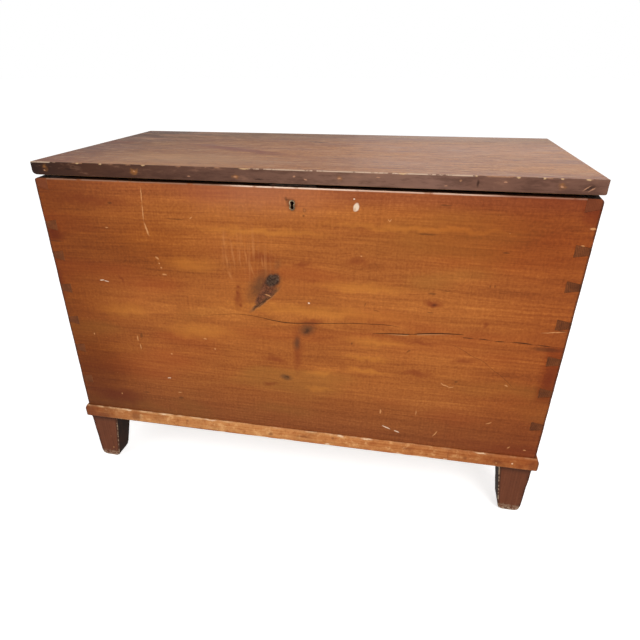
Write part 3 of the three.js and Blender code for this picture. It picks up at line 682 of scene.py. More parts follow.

# %% [markdown]
# The front's colour is a ramp over the streaks, a bright amber in patches. Slow drifts tint it, painted shade
# makes it darker and redder towards its ends and darker at its foot and top, and the marks are mixed in
# after.

# %% The front board's paints
FRONT_STOPS = [
    (0.26, paint(116, 60, 25)),
    (0.42, paint(152, 83, 36)),
    (0.56, paint(176, 102, 45)),
    (0.74, paint(210, 132, 61)),
]
CREAM = paint(230, 203, 176)
SCRATCH = paint(216, 154, 98)
BURNT = paint(62, 36, 20)
KNOT_GREY = paint(80, 55, 38)
RED_BROWN = paint(128, 56, 26)
AMBER = paint(209, 132, 54)
REDDENED, YELLOWED = paint(162, 74, 33), paint(164, 112, 48)
DARK_RING = paint(104, 52, 20)
RIPPLE_GLEAM = paint(206, 136, 78)
# The pale pink of a painted sheen
SHEEN_PINK = paint(204, 138, 104)
# The painted shade along the case's upright corners
CORNER_SHADE_DARK = paint(58, 31, 19)
PUTTY_RIM = paint(206, 166, 130)
LIP_PALE = paint(214, 160, 110)
SPLIT_THIN, SPLIT_DEEP = paint(92, 46, 18), paint(40, 24, 15)
HOLE_PALE = paint(176, 108, 62)
# The top arris's pale tones, partly rubbed wood and partly a painted highlight
ARRIS_DULL_TONE, ARRIS_PALE_TONE = paint(150, 108, 86), paint(244, 212, 188)
# The painted shadow of the lid on the front's top face
GAP_SHADOW_DARK, GAP_SHADOW_LIGHT = paint(60, 36, 24), paint(88, 54, 36)
KNOT_HALO = paint(104, 58, 32)
BARK_DARK, BARK_LIGHT = paint(60, 38, 26), paint(112, 72, 44)
LOBE_DARK, LOBE_LIGHT = paint(70, 40, 28), paint(128, 76, 50)
CORE_BLACK, CORE_BROWN, CORE_GREY = paint(30, 23, 20), paint(70, 52, 40), paint(128, 108, 92)
KNOT_RIM = paint(196, 136, 84)
# The front's painted shade at its borders and in patches: what is left of its red, green and blue light
FRONT_PAINTED_SHADE = {
    "left": (0.58, 0.46, 0.34, 1.0),
    "right": (0.80, 0.66, 0.60, 1.0),
    "low": (0.60, 0.56, 0.76, 1.0),
    "top": (0.88, 0.80, 1.0, 1.0),
    "left middle": (0.76, 0.66, 0.52, 1.0),
    "lower left": (0.76, 0.70, 0.58, 1.0),
    "top right": (0.80, 0.74, 0.84, 1.0),
    "upper right": (0.86, 0.70, 0.62, 1.0),
    "right band": (0.78, 0.64, 0.60, 1.0),
    "left patch": (0.80, 0.68, 0.66, 1.0),
}
print(len(FRONT_STOPS), "tones of shellac, and", len(FRONT_PAINTED_SHADE), "places where it darkens")


# %% Where things are on the front
def on_front(x, height):
    """A place on the front's face, from millimetres beside its middle and above its lower edge."""
    return (x * MM, CASE_FRONT, CASE_FOOT + height * MM)


def shaded_corner_line(colour, x, up):
    """Painted shade: a dark line along the upright corners of the case, where the rounded corner turns away
    from the light.
    """
    beside = x.size().rise(HALF_WIDTH - 6.0 * MM, HALF_WIDTH - 1.4 * MM)
    line = beside * cloud(joined(3, 0, up * 30)).rise(0.30, 0.44)
    return mix(line * 0.75, colour, CORNER_SHADE_DARK)


# How long the bulge of the streaks is beside a knot, how soft its middle, and how far it pushes them
BULGE_LENGTH, BULGE_SOFT, BULGE_PUSH = 0.4, 0.5, 1.1


def round_knots(x, up, knots):
    """The height of the streak that a point lies on, where each knot pushes the streaks aside."""
    flow = up
    for knot_x, knot_height, radius in knots:
        side = x - knot_x * MM
        rise = up - knot_height * MM
        reach = (radius * MM) ** 2
        away = side * side * BULGE_LENGTH + rise * rise + reach * BULGE_SOFT
        flow = flow - rise * (reach * BULGE_PUSH) / away
    return flow


def marks(point, table, edge=0.6, place_of=on_front):
    """A table of marks on a face that looks to the front, each laid over the ones before."""
    whole = 0.0
    for x, height, half_length, half_width, turn in table:
        size = (half_length * MM, 1.0, half_width * MM)
        whole = leaf(point, place_of(x, height), size, math.radians(turn), edge, under=whole)
    return whole


def split_lines(x, up):
    """The three parts of the split: how deep a point lies in them, and how far in the pale lip below."""
    depths, lips = [], []
    for heights, widths in zip(SPLIT_HEIGHTS, SPLIT_WIDTHS):
        first, last = heights[0][0] * MM, heights[-1][0] * MM
        inside = x.rise(first - MM, first + MM) * x.rise(last + MM, last - MM)
        height = height_line(x, heights, *SPLIT_LIMITS)
        width = height_line(x, widths, *SPLIT_WIDTH_LIMITS)
        away = up - height
        depths.append((1 - (away.size() / width).rise(0.2, 0.75)) * inside)
        lip = (1 - ((away + width * 0.9).size() / width).rise(0.1, 0.6)) * inside
        lips.append(lip * width.rise(1.7 * MM, 2.4 * MM))
    return strongest(depths), strongest(lips)


def shaken_x(x, up):
    """x moved a little, so that a line over it is ragged."""
    return x + (cloud(joined(x * 120, up * 120, 2), detail=3.0) - 0.5) * (4 * MM)


# %% [markdown]
# Each place of painted shade on the front is a soft mask, and takes away its own share of red, green and
# blue.
# The big knot is built up like a painting: its grey shadow, its pale rim, the bark that trails down to the
# left, two brown lobes, and the black core on top.

# %% The front's painted shade and knots
def paint_front_shade(colour, wide, x, up, patches):
    """The painted shade of the front: its darker left and right ends, foot and top, and its darker patches.
    """
    unevenness = 0.7 + patches * 0.6
    # Painted shade: each mask darkens the front where less light falls on it
    masks = {
        "left": x.rise(-0.28, -HALF_WIDTH),
        "right": x.rise(0.26, HALF_WIDTH),
        "low": up.rise(0.21, 0.0),
        "top": up.rise(0.505, 0.545),
        "left middle": leaf(wide, on_front(-310, 425), (0.22, 1.0, 0.11), 0.0, 0.9),
        "lower left": leaf(wide, on_front(-470, 145), (0.15, 1.0, 0.10), 0.0, 0.9),
        "top right": up.rise(0.515, 0.540) * x.rise(0.04, 0.12),
        "upper right": leaf(wide, on_front(350, 475), (0.26, 1.0, 0.085), 0.0, 0.8),
        "right band": x.rise(0.470, 0.486) * up.rise(0.150, 0.170) * up.rise(0.286, 0.280),
        "left patch": x.rise(-0.472, -0.500) * up.rise(0.424, 0.429) * up.rise(0.475, 0.445),
    }
    for side, mask in masks.items():
        colour = mix(mask * unevenness, colour, FRONT_PAINTED_SHADE[side], "MULTIPLY")
    return shaded_corner_line(colour, x, up)


# The big knot's parts: x and height, half length and half width in metres, turn in degrees, softness
BIG_KNOT = {
    "shadow": ((-68, 362), (0.060, 1.0, 0.026), -59, 0.95),
    "rim": ((-58, 333), (0.050, 1.0, 0.0082), -42, 0.5),
    "tail": ((-58, 333), (0.052, 1.0, 0.0060), -42, 0.5),
    "lower lobe": ((-66, 337), (0.024, 1.0, 0.0095), -52, 0.5),
    "upper lobe": ((-50, 357), (0.030, 1.0, 0.0175), -52, 0.5),
    "halo": ((-40, 374), (0.026, 1.0, 0.021), -30, 0.6),
    "core": ((-40.5, 375), (0.0205, 1.0, 0.0150), -38, 0.45),
}
# The small knots and resin spots: place, half length and half width, turn, strength and paint
SMALL_KNOTS = [
    ((27, 275), (0.0260, 1.0, 0.0190), -30, 0.75, KNOT_GREY),
    ((28, 273), (0.0110, 1.0, 0.0070), -30, 0.70, BURNT),
    ((6, 243), (0.0110, 1.0, 0.0240), 8, 0.70, KNOT_GREY),
    ((-18, 159), (0.0200, 1.0, 0.0110), 10, 0.75, KNOT_GREY),
    ((-16, 161), (0.0070, 1.0, 0.0040), 10, 0.70, BURNT),
    ((-112, 357), (0.0050, 1.0, 0.0042), 0, 0.8, RED_BROWN),
    ((-114, 344), (0.0042, 1.0, 0.0060), 0, 0.8, RED_BROWN),
    ((-108, 317), (0.0060, 1.0, 0.0060), 0, 0.8, RED_BROWN),
    ((0, 520), (0.0125, 1.0, 0.0160), 0, 0.8, BURNT),
    ((-8, 528), (0.0070, 1.0, 0.0060), -30, 0.6, BURNT),
    ((-30, 405), (0.0100, 1.0, 0.0200), 25, 0.35, KNOT_GREY),
    ((264, 351), (0.0260, 1.0, 0.0120), 5, 0.75, RED_BROWN),
    ((268, 349), (0.0080, 1.0, 0.0045), 5, 0.60, BURNT),
]
SMALL_KNOT_SOFT = 0.95


def knot_part(fine, place, size, turn, soft):
    return leaf(fine, on_front(*place), size, math.radians(turn), soft)


def front_knots(colour, point, x, y, up):
    """The big knot with its shadow and tail, and the small ones, laid over a colour. Also the knot's core."""
    fine = shaken(point, 7 * MM, 12 * MM, detail=4.0)
    crackle = cloud(joined(x * 240, y, up * 240), detail=4.0, rough=0.75)
    shadow = knot_part(fine, *BIG_KNOT["shadow"])
    colour = mix(shadow * crackle.rise(0.1, 0.5) * 0.72, colour, KNOT_GREY)
    rim = knot_part(fine, *BIG_KNOT["rim"])
    colour = mix(rim * 0.35, colour, KNOT_RIM)
    tail = knot_part(fine, *BIG_KNOT["tail"])
    rope = cloud(joined((x - up) * 260, y, (x + up) * 60), detail=1.0).rise(0.42, 0.58)
    colour = mix(tail * 0.92, colour, mix(rope, BARK_DARK, BARK_LIGHT))
    for part in ("lower lobe", "upper lobe"):
        lobe = knot_part(fine, *BIG_KNOT[part])
        colour = mix(lobe * 0.92, colour, mix(crackle.rise(0.4, 0.62), LOBE_DARK, LOBE_LIGHT))
    halo = knot_part(fine, *BIG_KNOT["halo"])
    colour = mix(halo * 0.5, colour, KNOT_HALO)
    core = knot_part(fine, *BIG_KNOT["core"])
    core_colour = mix(crackle.rise(0.40, 0.52), CORE_BLACK, CORE_BROWN)
    core_colour = mix(crackle.rise(0.56, 0.70), core_colour, CORE_GREY)
    colour = mix(core * 0.94, colour, core_colour)
    for place, size, turn, share, stain in SMALL_KNOTS:
        spot = knot_part(fine, place, size, turn, SMALL_KNOT_SOFT)
        colour = mix(spot * share * crackle.rise(0.1, 0.5), colour, stain)
    return colour, core


# %% [markdown]
# Now the whole face is laid up: the wood's own tone first, then slow drifts of the varnish and the painted
# shade of the borders, then ripples, a painted sheen, knots, nicks, the split, and last the top arris, rubbed
# pale and painted lighter as a highlight, with the painted shadow of the lid on the top face behind it. Each
# `mix` lays one thing over what is there, by a mask that says where.

# %% The front board's whole face
MOTTLE_SCALE = 210


def front_pine():
    material, start = new_material("front_board_shellac")
    point = object_point(start)
    x, y, z = split(point)
    up = z - CASE_FOOT
    grain = Grain(joined(x, y, round_knots(x, up, KNOTS)), *TREES["front"])
    patches = grain.patches()
    fibres = grain.fibres()
    streaks = grain.streaks()
    short = grain.streaks(0.09, 3.5 * MM, 5.0)
    mottle = cloud(point, MOTTLE_SCALE, detail=3.0)
    crazing = cloud(joined(x * 300, y, up * 16), detail=2.0)
    tone = streaks * 0.28 + short * 0.38 + patches * 0.34 + mottle * 0.30
    tone = tone + fibres * 0.10 + crazing * 0.10 - 0.255
    colour = tone.node("ShaderNodeValToRGB", {"stops": FRONT_STOPS}, {0: tone})

    drift = cloud(joined(x * 2.6, y, up * 9), detail=2.0)
    colour = mix(drift.rise(0.53, 0.68) * 0.36, colour, REDDENED)
    colour = mix(drift.rise(0.47, 0.34) * 0.34, colour, YELLOWED)
    wide = shaken(point, 26 * MM, 24 * MM)
    colour = mix(marks(wide, AMBER_MARKS, 0.9) * 0.42, colour, AMBER)
    colour = mix(marks(wide, RED_MARKS, 0.9) * (short * 0.7 + 0.25), colour, RED_BROWN)
    dark_rings = cloud(joined(x * 7, y, grain.ring * 520), detail=2.0).rise(0.60, 0.74)
    colour = mix(dark_rings * patches * 0.34, colour, DARK_RING)
    colour = paint_front_shade(colour, wide, x, up, patches)

    ripple = leaf(wide, on_front(-88, 420), (0.075, 1.0, 0.080), 0.0, 0.9)
    lines = cloud(joined(x * 200, y, up * 9 + 4), detail=3.0).rise(0.48, 0.74)
    soft = shaken(point, 5 * MM, 14 * MM)
    ripples = (ripple * lines * 0.5).most(marks(soft, RIPPLES, 1.0) * 0.4)
    colour = mix(ripples, colour, RIPPLE_GLEAM)

    # A painted sheen: a pale pinkish reflection across the top of the front
    painted_sheen = leaf(wide, on_front(-60, 545), (0.22, 1.0, 0.07), 0.0, 1.0)
    colour = mix(painted_sheen * 0.25, colour, SHEEN_PINK)

    fine = shaken(point, 2.4 * MM, 6 * MM)
    colour, core = front_knots(colour, point, x, y, up)
    specks = cloud(joined(x * 230, y, up * 230), detail=0.0).rise(0.85, 0.90)
    colour = mix(marks(fine, DARK_MARKS, 0.7) * 0.5, colour, BURNT)
    colour = mix(leaf(fine, on_front(22.8, 511.8), (0.0026, 1.0, 0.003)) * 0.8, colour, HOLE_PALE)
    colour = mix(marks(fine, PALE_MARKS).most(specks * 0.35) * 0.7, colour, SCRATCH)
    arc_inside = x.rise(0.285, 0.34) * x.rise(0.448, 0.420)
    arc = (up - height_line(x, ARC_SCRATCH, *ARC_LIMITS)).size().rise(0.9 * MM, 0.3 * MM) * arc_inside
    colour = mix(arc * 0.5, colour, BURNT)

    depth, lip = split_lines(shaken_x(x, up), up)
    colour = mix(lip * x.rise(0.15, 0.16) * x.rise(0.34, 0.24) * 0.5, colour, LIP_PALE)
    colour = mix(depth * 0.92, colour, mix(x.rise(-0.09, -0.03), SPLIT_THIN, SPLIT_DEEP))
    white = marks(fine, WHITE_MARKS, 0.35)
    colour = mix(white, colour, CREAM)
    rim = leaf(fine, on_front(112.4, 517), (0.0032, 1.0, 0.0055), math.radians(14), 0.8)
    colour = mix(rim * white * 0.7, colour, PUTTY_RIM)

    # The top arris: rubbed pale in places, and painted lighter as a highlight where it catches the light
    rubbed = z.rise(CASE_TOP - 3.2 * MM, CASE_TOP - 1.4 * MM)
    worn = rubbed * cloud(joined(x * 40, 3, 3), detail=3.0).rise(0.32, 0.46)
    arris_pale_colour = mix(x.rise(-0.14, -0.08), ARRIS_DULL_TONE, ARRIS_PALE_TONE)
    colour = mix(worn * (0.95 - x.rise(0.08, 0.14) * 0.35 - x.rise(0.30, 0.38) * 0.45), colour, arris_pale_colour)
    # Painted shadow: the top face behind the front arris is painted a mottled dark brown where the lid shades
    # the gap
    dusty = mix(mottle.rise(0.35, 0.65), GAP_SHADOW_DARK, GAP_SHADOW_LIGHT)
    colour = mix(y.rise(CASE_FRONT + 1.2 * MM, CASE_FRONT + 2.4 * MM), colour, dusty)

    roughness = 0.40 + patches * 0.1 + fibres * 0.1 + white * 0.3 + depth * 0.3
    relief = fibres * 0.25 + streaks * 0.4 + mottle * 0.4 + crazing * 0.3 - depth * 3 - core * 1.2
    finish_wood(start, colour, roughness, relief)
    return material


front_face = front_pine()
print("the front's finish takes", len(front_face.node_tree.nodes), "nodes")

# %% [markdown]
# ## Other finishes of pine
# The sides, the back and the moulding share the front's old shellac in their own tones, end grain drank more
# of it and went dark, and inside the chest the boards were never finished at all.

# %% Varnished pine
# The painted shadow of the lid on the boards' top faces
GAP_SHADOW_BLACK = paint(46, 29, 20)
OLD_DIRT = paint(92, 48, 26)


def under_lid(point):
    """1 on the boards' top faces."""
    return split(point)[2].rise(CASE_TOP - 0.5 * MM, CASE_TOP - 0.2 * MM)


def shade_top_rail(colour, point):
    """Painted shadow: the boards' top faces under the lid, painted near black where the lid shades the gap.
    """
    return mix(under_lid(point), colour, GAP_SHADOW_BLACK)


def varnished_pine(name, tree, stops, rough=0.42, marked=None, nicked=0.5):
    """Old shellac over pine. tree is the piece's place in its tree, and marked lays marks on a colour."""
    material, start = new_material(name)
    point = object_point(start)
    grain = Grain(point, *TREES[tree])
    streaks = grain.streaks()
    patches = grain.patches()
    fibres = grain.fibres()
    short = grain.streaks(0.07, 3.5 * MM, 3.0)
    late = grain.late_wood(5.5 * MM)
    mottle = cloud(point, MOTTLE_SCALE, detail=3.0)
    tone = streaks * 0.42 + short * 0.24 + patches * 0.3 + mottle * 0.2 + fibres * 0.1 - late * 0.04 - 0.11
    colour = tone.node("ShaderNodeValToRGB", {"stops": stops}, {0: tone})
    dirt = cloud(point, scale=9, detail=4.0, rough=0.6).rise(0.52, 0.72)
    colour = mix(dirt * 0.3, colour, OLD_DIRT)
    nicks = cloud(shaken(point, 4 * MM, 5 * MM), scale=120, detail=0.0).rise(0.8, 0.86)
    colour = mix(nicks * nicked, colour, SCRATCH)
    if marked:
        colour = marked(colour, point)
    roughness = rough + patches * 0.12 + fibres * 0.08
    if marked:
        roughness = roughness + under_lid(point) * 0.4
    relief = fibres * 0.3 + streaks * 0.4 + mottle * 0.4 - late * 0.3 - nicks
    finish_wood(start, colour, roughness, relief, strength=0.3)
    return material


# %% End grain and bare pine
PIN_RED, PIN_LIGHT = paint(120, 58, 33), paint(150, 84, 42)
BARE_STAIN = paint(112, 80, 52)
BARE_STOPS = [
    (0.2, paint(118, 80, 46)),
    (0.42, paint(158, 116, 72)),
    (0.6, paint(180, 138, 90)),
    (0.8, paint(200, 160, 110)),
]


def pin_stains(colour, point):
    """The pins' ends on the front: redder at the top, lighter at the left, and a line of painted shade along
    the corners.
    """
    x, y, z = split(point)
    colour = mix(z.rise(CASE_TOP - 40 * MM, CASE_TOP - 30 * MM) * 0.6, colour, PIN_RED)
    colour = mix(x.rise(-0.46, -0.48) * 0.12, colour, PIN_LIGHT)
    return shaded_corner_line(colour, x, z)


def end_grain(name, tree, dark, light, marked=None):
    """The sawn ends of a board: rings cut across, and pores full of old polish."""
    material, start = new_material(name)
    point = object_point(start)
    grain = Grain(point, *TREES[tree])
    late = grain.late_wood(3.2 * MM)
    blotch = cloud(point, scale=45, detail=4.0, rough=0.65)
    pores = cloud(point, scale=900, detail=1.0)
    tone = blotch * 0.85 + pores * 0.3 - late * 0.12 - 0.05
    colour = mix(tone.rise(0.25, 0.85), dark, light)
    if marked:
        colour = marked(colour, point)
    roughness = 0.5 + pores * 0.15
    finish_wood(start, colour, roughness, pores - late, depth=0.4 * MM)
    return material


def bare_pine(name, tree):
    """Pine that was planed and left, gone tan with age."""
    material, start = new_material(name)
    point = object_point(start)
    grain = Grain(point, *TREES[tree])
    streaks = grain.streaks(length=0.5, width=14 * MM)
    late = grain.late_wood(4.5 * MM)
    fibres = grain.fibres()
    patches = grain.patches()
    tone = streaks * 0.5 + patches * 0.35 + fibres * 0.2 - late * 0.22
    colour = tone.node("ShaderNodeValToRGB", {"stops": BARE_STOPS}, {0: tone})
    stain = cloud(point, scale=7, detail=4.0, rough=0.6).rise(0.5, 0.75)
    colour = mix(stain * 0.3, colour, BARE_STAIN)
    roughness = 0.68 + fibres * 0.15
    relief = fibres * 0.4 + streaks * 0.4 - late * 0.5
    finish_wood(start, colour, roughness, relief, strength=0.4)
    return material


# %% [markdown]
# The sides are a little darker than the front, and the back is greyer, with a duller film. Each table holds
# a finish's tones, from the darkest streak to the lightest.

# %% The case's own finishes
SIDE_STOPS = [
    (0.26, paint(104, 52, 24)),
    (0.44, paint(140, 74, 34)),
    (0.6, paint(164, 94, 44)),
    (0.78, paint(188, 116, 58)),
]
BACK_STOPS = [
    (0.26, paint(88, 54, 32)),
    (0.44, paint(118, 78, 48)),
    (0.6, paint(138, 96, 62)),
    (0.78, paint(160, 118, 80)),
]
END_DARK, END_LIGHT = paint(80, 41, 20), paint(134, 74, 38)

side_face_left = varnished_pine("left_side_shellac", "left side", SIDE_STOPS, marked=shade_top_rail)
side_face_right = varnished_pine("right_side_shellac", "right side", SIDE_STOPS, marked=shade_top_rail)
back_face = varnished_pine("back_shellac", "back", BACK_STOPS, rough=0.55, marked=shade_top_rail)
pin_ends = end_grain("pin_end_grain", "pins", END_DARK, END_LIGHT, pin_stains)
tail_ends = end_grain("tail_end_grain", "tails", END_DARK, END_LIGHT)
inside_long = bare_pine("bare_long_boards", "long inside")
inside_short = bare_pine("bare_side_boards", "short inside")
print(len(bpy.data.materials), "materials so far")

# %% [markdown]
# ## The four boards of the case
# Each board is scored, its outer corners are rounded over and its small arrises are eased by a third of a
# millimetre, which draws the fine dark outline round every pin and tail. The four top corners took the most
# knocks, so they are worn round. The faces then get their finishes by the way that they look: out of the
# chest, into it, or along the grain.

# %% Wearing a corner round
SLACK = 0.02 * MM
# Where a mesh is scored beside a corner, so that it can bend
CORNER_SCORES = [1.5 * MM, 3 * MM, 4.5 * MM, 6 * MM, 9 * MM, 12 * MM]
SCORED_REACH = 1.3


def near(value, target):
    return abs(value - target) < SLACK


def round_corner(bm, corner, inward, radius, fade):
    """Wears a corner round on two axes. inward holds their signs and a 0 for the axis that it fades along."""
    first, second = [i for i in range(3) if inward[i]]
    third = 3 - first - second
    for i in (first, second):
        score(bm, i, [corner[i] + inward[i] * gap for gap in CORNER_SCORES if gap < radius * SCORED_REACH])
    for vert in bm.verts:
        reach = radius * max(0.0, 1 - abs(vert.co[third] - corner[third]) / fade)
        across = reach - (vert.co[first] - corner[first]) * inward[first]
        down = reach - (vert.co[second] - corner[second]) * inward[second]
        away = math.hypot(across, down)
        if across > 0 and down > 0 and away > reach:
            vert.co[first] = corner[first] + inward[first] * (reach - across * reach / away)
            vert.co[second] = corner[second] + inward[second] * (reach - down * reach / away)


# %% The case boards
CORNER_ROUND = 2.0 * MM
TOP_ARRIS = 1.1 * MM
JOINT_ARRIS = 0.35 * MM
SCORE_PITCH = 14 * MM
TOP_CORNER = 8 * MM
TOP_CORNER_FADE = 60 * MM
# A face belongs to an end, the inside or the top where its normal points that way by more than this
END_TILT, INNER_TILT, TOP_TILT = 0.6, 0.5, 0.7
# The inside lies deeper than this share of a board below its outer face
INNER_SHARE = 0.6
OUTSIDE, INSIDE, ENDS = 0, 1, 2


def case_board(node, outward, ends, faces):
    """One board of the case. outward is the axis and sign that it faces, faces its three finishes."""
    axis, sign = outward
    bm = solid_copy(node)
    low, high = span_of(bm)
    outer = high[axis] if sign > 0 else low[axis]
    score(bm, 2, steps(CASE_FOOT, CASE_TOP, SCORE_PITCH))
    score(bm, ends, steps(low[ends], high[ends], SCORE_PITCH))

    def on_corner(place):
        return near(abs(place.x), HALF_WIDTH) and (near(place.y, CASE_FRONT) or near(place.y, CASE_BACK))

    def on_top(place):
        return near(place.z, CASE_TOP) and near(place[axis], outer)

    def on_joint(place):
        return near(place[axis], outer) or near(place[ends], low[ends]) or near(place[ends], high[ends])

    rounded = ease(bm, arrises(bm, on_corner), CORNER_ROUND, 3)
    knock(rounded, "case corner")
    eased = ease(bm, arrises(bm, on_top), TOP_ARRIS, 2)
    knock(eased, "case top")
    ease(bm, arrises(bm, on_joint), JOINT_ARRIS, 1)
    if axis == 0:
        for corner_y in (CASE_FRONT, CASE_BACK):
            corner = Vector((sign * HALF_WIDTH, corner_y, CASE_TOP))
            round_corner(bm, corner, (-sign, 0, -1), TOP_CORNER, TOP_CORNER_FADE)
    for face in bm.faces:
        normal = face.normal
        middle = face.calc_center_median()
        if abs(normal[ends]) > END_TILT and abs(middle[ends]) > abs(high[ends]) - BOARD:
            face.material_index = ENDS
        elif normal[axis] * sign < -INNER_TILT and abs(middle[axis] - outer) > BOARD * INNER_SHARE:
            face.material_index = INSIDE
        elif abs(normal.z) > TOP_TILT:
            face.material_index = INSIDE if normal.z < 0 else OUTSIDE
    return publish(bm, node, faces)


for board in (
    case_board("front_board", (1, -1), 0, [front_face, inside_long, tail_ends]),
    case_board("back_board", (1, 1), 0, [back_face, inside_long, tail_ends]),
    case_board("left_side_board", (0, -1), 1, [side_face_left, inside_short, pin_ends]),
    case_board("right_side_board", (0, 1), 1, [side_face_right, inside_short, pin_ends]),
):
    print(board.name, "has", len(board.data.polygons), "faces")

# %% [markdown]
# ## The lid
# The lid is one wide board, painted darker than the case with painted shade that deepens towards the back and
# the left, most of all at the back on the left. Its lower left corner is worn right round, its top arris is
# rubbed back to bare wood in places, and chips are missing along it.

# %% The lid's paints and marks
LID_STOPS = [
    (0.3, paint(98, 54, 27)),
    (0.44, paint(146, 88, 49)),
    (0.57, paint(172, 112, 66)),
    (0.72, paint(208, 152, 100)),
]
# What is left of the light towards the left, at the left end, in the back left corner and along the back
LID_SHADE = (0.40, 0.40, 0.40, 1.0)
LID_END_SHADE = (0.66, 0.50, 0.48, 1.0)
LID_CORNER_SHADE = (0.82, 0.74, 0.70, 1.0)
LID_BACK_SHADE = (0.72, 0.80, 0.80, 1.0)
LID_REDDER, LID_PALER = paint(118, 58, 36), paint(184, 128, 88)
SCUFF_LIGHT, SCUFF_DARK = paint(198, 153, 108), paint(78, 44, 32)
MOTTLE_LIGHT, MOTTLE_DARK = paint(176, 136, 98), paint(92, 50, 34)
SPILL = paint(118, 52, 34)
LID_WORN = paint(180, 140, 101)
LID_KNOT = paint(58, 36, 40)
EDGE_BLOTCH_DARK, EDGE_BLOTCH_LIGHT = paint(58, 34, 26), paint(156, 112, 88)
EDGE_BLACK, EDGE_GOLD, EDGE_PALE = paint(44, 26, 20), paint(152, 98, 50), paint(196, 142, 108)
RUB_TAN, RUB_BARE = paint(176, 126, 94), paint(232, 200, 172)
CHIP_PALE, NICK_PALE = paint(222, 182, 134), paint(206, 150, 104)
LID_END_DARK, LID_END_LIGHT = paint(58, 34, 24), paint(104, 68, 50)
# The lid's old film mirrors less than the front's
LID_FILM = 0.08
# How far the bare wood of a chip reaches from the arris
CHIP_DEPTH = 2.2 * MM
# Each chip of the front arris: x, half length and depth in millimetres
LID_CHIPS = [
    (-410, 5, 1.2), (-363, 4, 1.0), (-277, 5, 1.0), (-85, 12, 1.2), (190, 8, 0.8), (308, 3, 0.8),
    (373, 4, 0.8), (413, 3, 0.8), (439, 3, 1.0), (478, 5, 1.0),
]
# The front edge's painted shade along its length, from its left end to its right
LID_EDGE_SHADE_STOPS = [
    (0.0, paint(40, 24, 18)),
    (0.12, paint(74, 45, 32)),
    (0.36, paint(96, 66, 54)),
    (0.60, paint(126, 92, 76)),
    (0.74, paint(128, 94, 80)),
    (0.80, paint(112, 78, 64)),
    (1.0, paint(112, 78, 64)),
]
# Each mark of the front edge: x, height, half length, half width, turn
LID_EDGE_PALE = [
    (-296, 12, 3, 2, 20), (-102, 9, 5, 1.6, -10), (5, 13, 3, 2, 0), (25, 8, 4, 1.5, 20), (84, 12, 4, 1.8, 0),
    (441, 11, 4, 2, 30), (478, 10, 9, 1.3, -35), (486, 8, 8, 1.2, -35), (-481, 9, 3, 1.5, 0),
    (150, 16, 5, 1.2, 0), (262, 6, 4, 1.2, 0), (355, 15, 4, 1.5, 0), (-190, 7, 4, 1.3, 0),
]
LID_EDGE_GOLD = [
    (-479, 13, 9, 11, 0), (-296, 11, 11, 9, 0), (-102, 9, 8, 5, 0), (441, 11, 7, 8, 0), (84, 12, 6, 7, 0),
]
LID_EDGE_DARK = [
    (482, 10, 12, 5, -20), (-504, 9, 12, 14, 0), (-430, 12, 12, 3, 0), (312, 12, 3, 9, 0), (-60, 6, 14, 2, 0),
]
print(len(LID_CHIPS), "chips and", len(LID_EDGE_PALE + LID_EDGE_GOLD + LID_EDGE_DARK), "marks along the lid")


# %% Where things are on the lid
def on_lid_edge(x, height):
    return (x * MM, lid_low.y, lid_low.z + height * MM)


def on_lid(x, depth):
    """A place on the lid's top, from millimetres beside its middle and behind its front arris."""
    return (x * MM, lid_low.y + depth * MM, lid_high.z)


def edge_nearness(point, low, high, reach):
    """1 on the edges of a box and 0 further from them than reach, for a point on its surface."""
    gaps = []
    for place, near_side, far_side in zip(split(point), low, high):
        gaps.append((place - (near_side + far_side) / 2).size() * -1 + (far_side - near_side) / 2)
    first, second, third = gaps
    middle = first.least(second).most(first.most(second).least(third))
    return middle.rise(reach, reach * 0.2)
